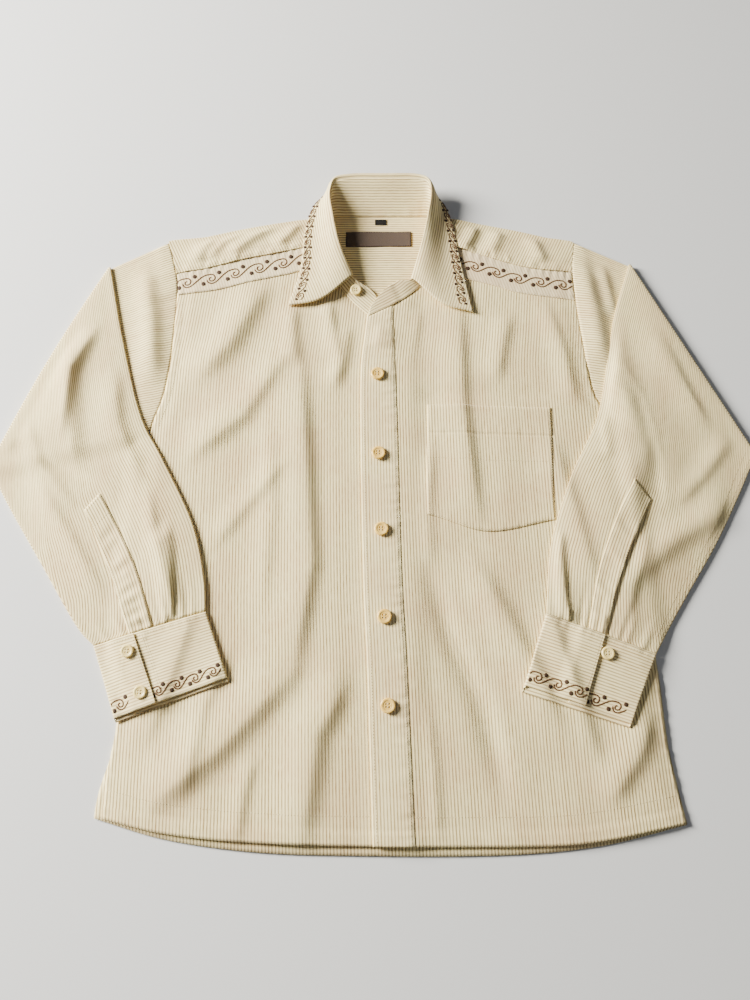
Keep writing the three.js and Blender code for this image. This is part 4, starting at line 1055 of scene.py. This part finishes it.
def cuff_skin(front):
    """A strip wound once round the flattened wrist: from the split to the inner edge, back under to the outer
    edge, and on top to the split again. Each place is a mix of the cuff's four corners."""
    cuff = SLEEVES[front]["cuff"]
    outer_on_top = cuff["on_top"] == "outer"
    ends = (-CUFF_TUCK, 0) if outer_on_top else (0, CUFF_TUCK)
    t, back, turn = np.linspace(0, 1, ACROSS), np.linspace(1, 0, 50), np.radians([60, 30, 0, -30, -60])
    v = np.linspace(0, 1, 46)[:, None]
    split = mix(cuff["split"][0], cuff["split"][1], v)
    first_end, last_end = mix(split + ends[0], 1, t), mix(split + ends[1], 0, t)[:, ::-1]
    width = np.concatenate([first_end, 1 + 0 * v * turn, back + 0 * v, 0 * v * turn, last_end], 1)
    none = 0 * t
    out = np.concatenate([none, np.cos(turn), 0 * back, -np.cos(turn), none])
    level = np.concatenate([none + 1, np.sin(turn), 0 * back - 1, -np.sin(turn), none + 1])
    end = np.concatenate([none, 2 + 0 * turn, 2 + 0 * back, 2 + 0 * turn, none + 1])
    across = unit(np.subtract(cuff["inner_seam"], cuff["outer_seam"]))
    seam = mix(np.array(cuff["outer_seam"]), np.array(cuff["inner_seam"]), width[..., None])
    hem = mix(np.array(cuff["outer_foot"]), np.array(cuff["inner_foot"]), width[..., None])
    is_top = end == (1 if outer_on_top else 0)
    reach = v * (np.where(level < 0, UNDER_REACH, 1) - LAP_SHORT[front] * is_top)
    place = mix(seam, hem, reach[..., None]) + across * (out * FUSED_FLAT)[:, None]
    hidden = split + ends[0 if outer_on_top else 1]
    if outer_on_top:
        near = soft(width, hidden - 0.16, hidden - 0.02)
    else:
        near = 1 - soft(width, hidden + 0.02, hidden + 0.16)
    x, y = place[..., 0], place[..., 1]
    upper = level > 0.9
    wave = 0.25 * rumple(x * 2, y * 2) + 0.35 * ripple(width * 110, 3.0) * bump(v, 0.1)
    if front == "right":
        beside = (width - split) * 118
        wave = wave + 0.45 * bump(beside - 9, 4) * ripple(v * 82, 2.0) * (1 - is_top)
    z = terrain(front, x, y) + FUSED_FLAT + level * FUSED_FLAT + CUFF_LAP * near * is_top + wave * upper
    points = np.stack([x, y, z], -1)
    return points, np.stack([reach * 80, length_along(points, 1)], -1)


for front in SLEEVES:
    points, flat = cuff_skin(front)
    cloth(f"cuff_{front}_cloth", points, flat, crisp_cloth, (20, 20), thick=1.2)


# %% Sleeve plackets
STRIP_RIDGE = {"right": 0.2, "left": 1.8}  # how much higher a strip's outer edge stands
STRIP_FROM = 9 / 17  # the share of the upper layer's length at which a strip starts


def strip_skin(front, rows=70, columns=20):
    """The sleeve's upper layer between two lines, from half its length to the cuff, lifted by the strip."""
    (top, foot), over = SLEEVES[front]["placket"], SLEEVE_GRIDS[front]
    layer = over[:, ACROSS - 1 :: -1]  # the upper layer, from the inner edge to the outer one
    t = np.linspace(0, 1, rows)[:, None]
    share = mix(mix(top[0], foot[0], t), mix(top[1], foot[1], t), np.linspace(0, 1, columns))
    row = mix(STRIP_FROM, 0.999, t) * (len(over) - 1) + 0 * share
    points = sample(layer, row, share * (layer.shape[1] - 1))
    ridge_up = STRIP_RIDGE[front] * np.linspace(0, 1, columns) ** 2 * soft(t, 0, 0.25)
    draw = 1.05 * ripple(t * 100, 3.0) * soft(t, 0.1, 0.25) * np.sin(np.pi * np.linspace(0, 1, columns))
    points[..., 2] += 1.05 - 0.4 * rim(rows, columns, 1.3) + ridge_up + draw
    return points


for front in SLEEVES:
    points = strip_skin(front)
    flat = np.stack([length_along(points, 1), length_along(points, 0)], -1)
    cloth(f"sleeve_placket_{front}_cloth", points, flat, body_cloth, (20, 10), thick=0.7)

# %% [markdown]
# ## Buttons
# Each button is turned: a round rim, a shallow dish, and four holes with thread through them. The height
# is one formula of the radius and the distance to the nearest hole.


# %% Buttons
def button(name, across, height, finish):
    """Top: the rim's height, less a dish that ends at 0.72 of the radius, less the rim's rounding and a pit
    at each of four holes."""
    node = name.replace("_turned", "")
    low, high = (np.array(corner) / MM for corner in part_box(node))
    radius = across / 2
    top = np.concatenate([np.linspace(0, 0.36, 18), np.linspace(0.38, 0.9, 14), [0.94, 0.97, 0.99, 1.0]]) * radius
    bottom = np.array([1.0, 0.97, 0.9, 0.6, 0.3, 0.0]) * radius
    angle = np.linspace(0, 2 * np.pi, 48, endpoint=False)
    r = np.concatenate([top, bottom])[:, None]
    x, y = r * np.cos(angle), r * np.sin(angle)
    hole_at = across * 0.1
    hole = np.hypot(np.abs(x) - hole_at, np.abs(y) - hole_at)
    dish = 0.15 * height * (1 - soft(r, 0.54 * radius, 0.72 * radius))
    rounding = 0.3 * height * soft(r, 0.88 * radius, radius)
    upper = height - (dish + rounding) - 0.5 * height * np.exp(-((hole / (across * 0.05)) ** 4))
    lower = 0.32 * height * soft(r, 0.85 * radius, radius)
    z = np.where(np.arange(len(r))[:, None] < len(top), upper, lower)
    points = np.stack([x, y, z], -1)
    tilt = math.atan2(3.5, 26) if node == "collar_button" else 0
    cos, sin = math.cos(tilt), math.sin(tilt)
    turned = points @ np.array([[1, 0, 0], [0, cos, sin], [0, -sin, cos]])
    centre = np.array([*((low + high) / 2)[:2], low[2]])
    shift = np.array([0, 0, -turned[..., 2].min()]) + centre
    piece = mesh_from(name, (turned + shift).reshape(-1, 3), cells(len(r), 48, loop=True)[0], weld=True)
    dressed(piece, finish, (node,))
    # Two bars of thread cross the dish from hole to hole.
    t = np.linspace(-1, 1, 8)
    lines = np.stack([
        np.stack([t * hole_at, 0 * t + side * hole_at, height * 0.86 - t**2 * 0.5], -1) for side in (-1, 1)
    ])
    beside, up = np.broadcast_to([0, 1.0, 0], lines.shape), np.broadcast_to([0, 0, 1.0], lines.shape)
    sewn = mesh_from(name + "_thread", *tubes(lines + shift, beside, up, 1.0, 0.6), weld=True)
    dressed(sewn, sewing_thread)


for i in range(1, 6):
    button(f"front_button_{i}_turned", 15.5, 3, front_plastic)
for name in ("cuff_button_right_1", "cuff_button_right_2", "cuff_button_left", "collar_button"):
    button(name + "_turned", 13.5, 2.8, pale_plastic)
print("nine buttons turned and sewn on")


# %% Labels, bare
def label(name, finish):
    """A sheet over the CAD label's rectangle, a little turned, with a low sine wave along it."""
    low, high = (np.array(corner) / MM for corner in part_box(name))
    x, y = np.meshgrid(np.linspace(low[0], high[0], 40), np.linspace(low[1], high[1], 16))
    turn = 0.02 * (x - low[0])
    z = high[2] - 0.25 + 0.2 * np.sin((x - low[0]) / 13) * soft(np.minimum(x - low[0], high[0] - x), 0, 8)
    points = np.stack([x, np.clip(y + turn - 0.6, low[1], high[1]), z], -1)
    cloth(name + "_cloth", points, np.stack([x, y], -1), finish, (8, 20), thick=0.5)


label("neck_label", label_ribbon)
label("size_label", size_ribbon)

# %% [markdown]
# ## Threads laid on a piece
# A line on a sheet is a list of places in its grid. `run_on` measures such a line, so that a stitch or a
# motif drawn flat in millimetres, along and across the line, can be laid on the cloth.


# %% Laying threads
def run_on(name, rows, columns, across=(1, 0)):
    """How long a line of grid places is, and a function from millimetres along and across it to grid places.
    `across` says which step, in rows and in columns, leads across the line."""
    points, _ = SKINS[name]
    rows, columns = np.broadcast_arrays(np.asarray(rows, float), np.asarray(columns, float))
    far = length_along(sample(points, rows, columns)[None], 1)[0]
    down, over = across

    def place(s, t):
        row, column = np.interp(s, far, rows), np.interp(s, far, columns)
        ahead = sample(points, row + 0.5 * down, column + 0.5 * over)
        behind = sample(points, row - 0.5 * down, column - 0.5 * over)
        steps = t / np.maximum(np.linalg.norm(ahead - behind, axis=-1), 1e-3)
        return row + steps * down, column + steps * over

    return far[-1], place


def column_run(name, column, first, last):
    """A line down one column, so that across it is along the rows."""
    return run_on(name, np.linspace(first, last, 200), column, across=(0, 1))


def laid(name, place, lines, width, height, ring=6, taper=0.1):
    """Threads from n x k x 2 flat points: each centre is a fifth of the thread's height above the skin, and
    its side is out x along."""
    points, normals = SKINS[name]
    row, column = place(lines[..., 0], lines[..., 1])
    out = unit(sample(normals, row, column))
    centres = sample(points, row, column) + out * height * 0.2
    along = unit(np.gradient(centres, axis=1) + 1e-9)
    return tubes(centres, unit(np.cross(out, along)), out, width, height, ring, taper)


STITCH, PITCH = 2.1, 3.0  # the length of a stitch, and from one to the next


def stitches(name, run, off=0.0, width=0.42, start=1.5, stop=1.5):
    """One short thread every 3 mm of the run, `off` it to one side."""
    length, place = run
    begin = np.arange(start, length - stop - STITCH, PITCH)[:, None]
    t = np.linspace(0, 1, 4)
    lines = np.stack([begin + STITCH * t, np.full((len(begin), 4), off)], -1)
    return laid(name, place, lines, width, 0.4, ring=5, taper=0.3)


print("threads can be laid on", len(SKINS), "sheets")

# %% [markdown]
# ## Embroidery
# The bands, the cuffs and the collar points carry a running scroll, an ornament found on costume all
# over the world: a stem swings up, winds into a spiral, and the next stem starts below it, with a dot on
# each side. Both strands are formulas, so that the scroll fits any length.


# %% One unit of the scroll
UNIT = 26.0  # from one spiral to the next, before it is scaled


def bezier(a, b, c, d, t):
    """The cubic with ends a and d that leaves towards b and arrives from c."""
    t = t[:, None]
    a, b, c, d = (np.array(p, float) for p in (a, b, c, d))
    return a * (1 - t) ** 3 + 3 * b * t * (1 - t) ** 2 + 3 * c * t**2 * (1 - t) + d * t**3


def scroll_strands(count):
    """A cup swells below one spiral, a cubic swings up to the next, and a curl winds in, its radius shrinking
    to 1 mm. Gives back the strands between spirals, then half a strand at the start and half a one at the
    end."""

    def polar(radius, degrees):
        return np.stack([radius * np.cos(np.radians(degrees)), radius * np.sin(np.radians(degrees))], -1)

    t, w = np.linspace(0, 1, 18), np.linspace(0, 1, 36)
    following = np.array([UNIT, 0])
    cup = polar(4.6 + 1.5 * t, 185 + 95 * t)
    swing = bezier(cup[-1], [8.0, -5.9], [13.5, 6.2], following + polar(5.6, 110), t)
    curl = following + polar(5.6 - 4.6 * w**0.85, 110 - 400 * w)
    whole = np.concatenate([cup[:-1], swing[:-1], curl])
    start = np.concatenate([swing[9:-1], curl]) - following
    stop = np.concatenate([cup[:-1], swing[:10]]) + following * (count - 1)
    between = np.array([whole + following * i for i in range(count - 1)]).reshape(-1, len(whole), 2)
    return [between, start[None], stop[None]]


DOTS = np.array([[-8.6, -4.9], [8.8, 5.6]])  # in each unit, from its spiral's middle


def scroll(name, run, size, first, count, side=1.0, flip=False, lift=0.0, dot=5.7, thick=1.85):
    """The scroll and its dots along a run: `size` scales a unit, a `side` below 0 turns it over, `flip` runs
    it backwards, and `lift` moves it across."""
    length, place = run
    t = np.linspace(-0.5, 0.5, 7)
    dots = np.concatenate([DOTS + [UNIT * i, 0] for i in range(count)])
    balls = dots[:, None] + np.stack([t * dot / size, 0 * t], -1)

    def flat(lines):
        lines = lines * [size, size * side] + [first, lift]
        return np.stack([length - lines[..., 0], lines[..., 1]], -1) if flip else lines

    strands = [flat(lines) for lines in scroll_strands(count) if len(lines)]
    threads = [laid(name, place, lines, thick, 0.6, taper=0.06) for lines in strands]
    return joined(threads), laid(name, place, flat(balls), dot, 1.0, ring=12, taper=None)


# %% Scrolls on bands, cuffs and collar points
FROM_EDGE = 7.6  # how many rows a scroll's middle is from the outer edge of a cuff or of the collar
parts = []
for front in SLEEVES:
    name = f"band_{front}_cloth"
    columns = np.arange(SKINS[name][0].shape[1])
    run = run_on(name, 14.0, columns)
    count = int((run[0] + 4) // UNIT)
    size = (run[0] - 2) / (count * UNIT - 5)
    parts.append(scroll(name, run, size, 1 + 9 * size, count, lift=0.4))

# On a cuff the first columns run from the split to the inner edge, and the last ones from the outer edge to
# the split. Each row: the first column, the last one and how many units.
CUFF_SCROLLS = {"right": [(11, 61, 4), (-62, -1, 1)], "left": [(0, 61, 3), (-62, -17, 2)]}
for front in SLEEVES:
    name = f"cuff_{front}_cloth"
    rows, columns = SKINS[name][0].shape[:2]
    for low, high, count in CUFF_SCROLLS[front]:
        steps = np.linspace(low % columns, high % columns, 80)
        run = run_on(name, rows - FROM_EDGE, steps)
        size = min((run[0] - 2) / (count * UNIT - 5), 0.85)
        how = {"side": -1.1, "flip": front == "left", "dot": 4.7, "thick": 1.6}
        parts.append(scroll(name, run, size, 1 + 9 * size, count, **how))

name = "collar_leaf_cloth"
rows, columns = SKINS[name][0].shape[:2]
for begin, end in ((2, 68), (columns - 3, columns - 69)):
    steps = np.linspace(begin, end, 120)
    run = run_on(name, rows - FROM_EDGE, steps)
    parts.append(scroll(name, run, 15 / UNIT, 6, int((run[0] - 2) // 15), side=-1.35, dot=3.9, thick=1.4))

scrolls = mesh_from("scroll_embroidery", *joined([lines for lines, _ in parts]), weld=True)
dressed(scrolls, scroll_thread)
dots = mesh_from("dot_embroidery", *joined([dots for _, dots in parts]), weld=True)
dressed(dots, dot_thread)
print(sum(len(faces) for (_, faces), _ in parts), "faces of scroll")

# %% [markdown]
# ## Sewing
# Most seams show as a line of small stitches, a millimetre or two inside an edge. Those of the hem and of
# the armholes are as far inside as the cloth is turned in.


# %% Stitches
def grid_end(name):
    """The last row and the last column of a sheet."""
    rows, columns = SKINS[name][0].shape[:2]
    return rows - 1, columns - 1


def sewn_rows(name, rows, first, last, count, **how):
    """Stitches along some rows, from one column to another by way of `count` places."""
    steps = np.linspace(first, last, count)
    return [stitches(name, run_on(name, row, steps), **how) for row in rows]


def sewn_columns(name, columns, first, last, **how):
    return [stitches(name, column_run(name, column, first, last), **how) for column in columns]


sewing = []
for name in ("front_right_cloth", "front_left_cloth"):
    _, columns = grid_end(name)
    sewing += sewn_rows(name, [0], 0.5, columns - 0.5, 200, off=HEM_DEPTH - 0.6)
# Inside each armhole, and along the seam of the left sleeve.
sewing += sewn_columns("front_right_cloth", [2.8], 143, 201)
sewing += sewn_columns("front_left_cloth", [grid_end("front_left_cloth")[1] - 3.0], 151, 201)
sewing += sewn_columns("sleeve_left_cloth", [1.2, 3.2], 54, 160)
# Two rows above each yoke seam.
rows, columns = grid_end("yoke_cloth")
for first, last in ((1, 68), (columns - 64, columns - 1)):
    for off in (-1.6, -7.5):
        sewing += sewn_rows("yoke_cloth", [rows - 0.02], first, last, 160, off=off)
rows, columns = grid_end("placket_cloth")
sewing += sewn_columns("placket_cloth", [3.0, columns - 3.0], 1, rows - 4)
# Round the pocket, and along the foot of its hem.
rows, columns = grid_end("pocket_cloth")
sewing += sewn_columns("pocket_cloth", [1.6, columns - 1.6], 1, rows - 1)
sewing += sewn_rows("pocket_cloth", [1.6], 1, columns - 1, 120)
sewing += sewn_rows("pocket_cloth", [rows], 1, columns - 1, 120, off=-34.5)
for front in SLEEVES:
    name = f"band_{front}_cloth"
    rows, columns = grid_end(name)
    sewing += sewn_rows(name, [1.3, rows - 1.3], 0, columns, 160)
    name = f"cuff_{front}_cloth"
    rows, columns = grid_end(name)
    for first, last in ((0, 60), (columns - 60, columns)):
        sewing += sewn_rows(name, [2.2], first, last, 80, width=0.4)
    sewing += sewn_columns(name, [3, columns - 3], 1, rows - 1, width=0.4)
    name = f"sleeve_placket_{front}_cloth"
    rows, columns = grid_end(name)
    sewing += sewn_columns(name, [1.4, columns - 1.4], 1, rows - 1, width=0.4)
    sewing += sewn_rows(name, [1.4, 10.5], 1, columns - 1, 30, width=0.4, start=0.5, stop=0.5)
# Two rows down the right cuff, beside the end that laps over it.
sewing += sewn_columns("cuff_right_cloth", [17.2, 18.8], 2, 44, width=0.4)
rows, columns = grid_end("collar_leaf_cloth")
sewing += sewn_rows("collar_leaf_cloth", [rows - 0.2], 1, columns - 1, 300, off=-4.6, width=0.36)
dressed(mesh_from("sewing_stitches", *joined(sewing), weld=True), sewing_thread)
print(sum(len(faces) for _, faces in sewing), "faces of stitching")

# %% Edge stitches of the neck label
rows, columns = grid_end("neck_label_cloth")
to_the_ends = {"width": 0.7, "start": 0, "stop": 0}
edges = sewn_rows("neck_label_cloth", [0.6, rows - 0.6], 0.4, columns - 0.4, 60, **to_the_ends)
edges += sewn_columns("neck_label_cloth", [0.6, columns - 0.6], 0.4, rows - 0.4, **to_the_ends)
dressed(mesh_from("label_stitches", *joined(edges), weld=True), edge_thread)

# %% [markdown]

# %% [markdown]
# ## Table top, light and camera
# A plain pale floor, a large soft window light from the upper left, a weak fill from the other side,
# and a camera that looks down from the hem side, 18 degrees off straight down.

# %% Floor
FLOOR_Z = -0.0004  # a little under the lowest sheet
corners = [(x, y, FLOOR_Z) for x, y in ((-4, -4), (4, -4), (4, 4), (-4, 4))]
floor_mesh = bpy.data.meshes.new("floor")
floor_mesh.from_pydata(corners, [], [(0, 1, 2, 3)])
floor = bpy.data.objects.new("floor", floor_mesh)
bpy.context.scene.collection.objects.link(floor)
floor_paint = Tree("floor_paint", Roughness=0.8, Base_Color=linear("ced0d2"))
floor_mesh.materials.append(floor_paint.material)


# %% Light
def window(name, place, size, power, warmth):
    """A round soft light that faces the middle of the floor."""
    lamp = bpy.data.lights.new(name, "AREA")
    lamp.shape, lamp.size, lamp.energy, lamp.color = "DISK", size, power, warmth
    thing = bpy.data.objects.new(name, lamp)
    bpy.context.scene.collection.objects.link(thing)
    thing.location = place
    thing.rotation_mode = "QUATERNION"
    thing.rotation_quaternion = (-mathutils.Vector(place)).to_track_quat("-Z", "Y")


window("window_light", (-2.35, 0.8, 1.12), 1.15, 440, (1.0, 0.955, 0.86))
window("fill_light", (0.4, -0.6, 2.2), 1.6, 4, (0.97, 0.98, 1.0))
world = bpy.data.worlds.new("room")
world.use_nodes = True
world.node_tree.nodes["Background"].inputs[0].default_value = (0.95, 0.96, 1.0, 1)
world.node_tree.nodes["Background"].inputs[1].default_value = 0.11
bpy.context.scene.world = world

# %% Camera
TILT, DISTANCE, AIM = math.radians(18), 0.8594, np.array([0.0015, -0.0285, 0.0])
lens = bpy.data.cameras.new("camera")
lens.lens, lens.sensor_width, lens.clip_start, lens.clip_end = 28, 36, 0.01, 20
camera = bpy.data.objects.new("camera", lens)
bpy.context.scene.collection.objects.link(camera)
camera.location = AIM + DISTANCE * np.array([0, -math.sin(TILT), math.cos(TILT)])
camera.rotation_euler = (TILT, 0, 0)
bpy.context.scene.camera = camera
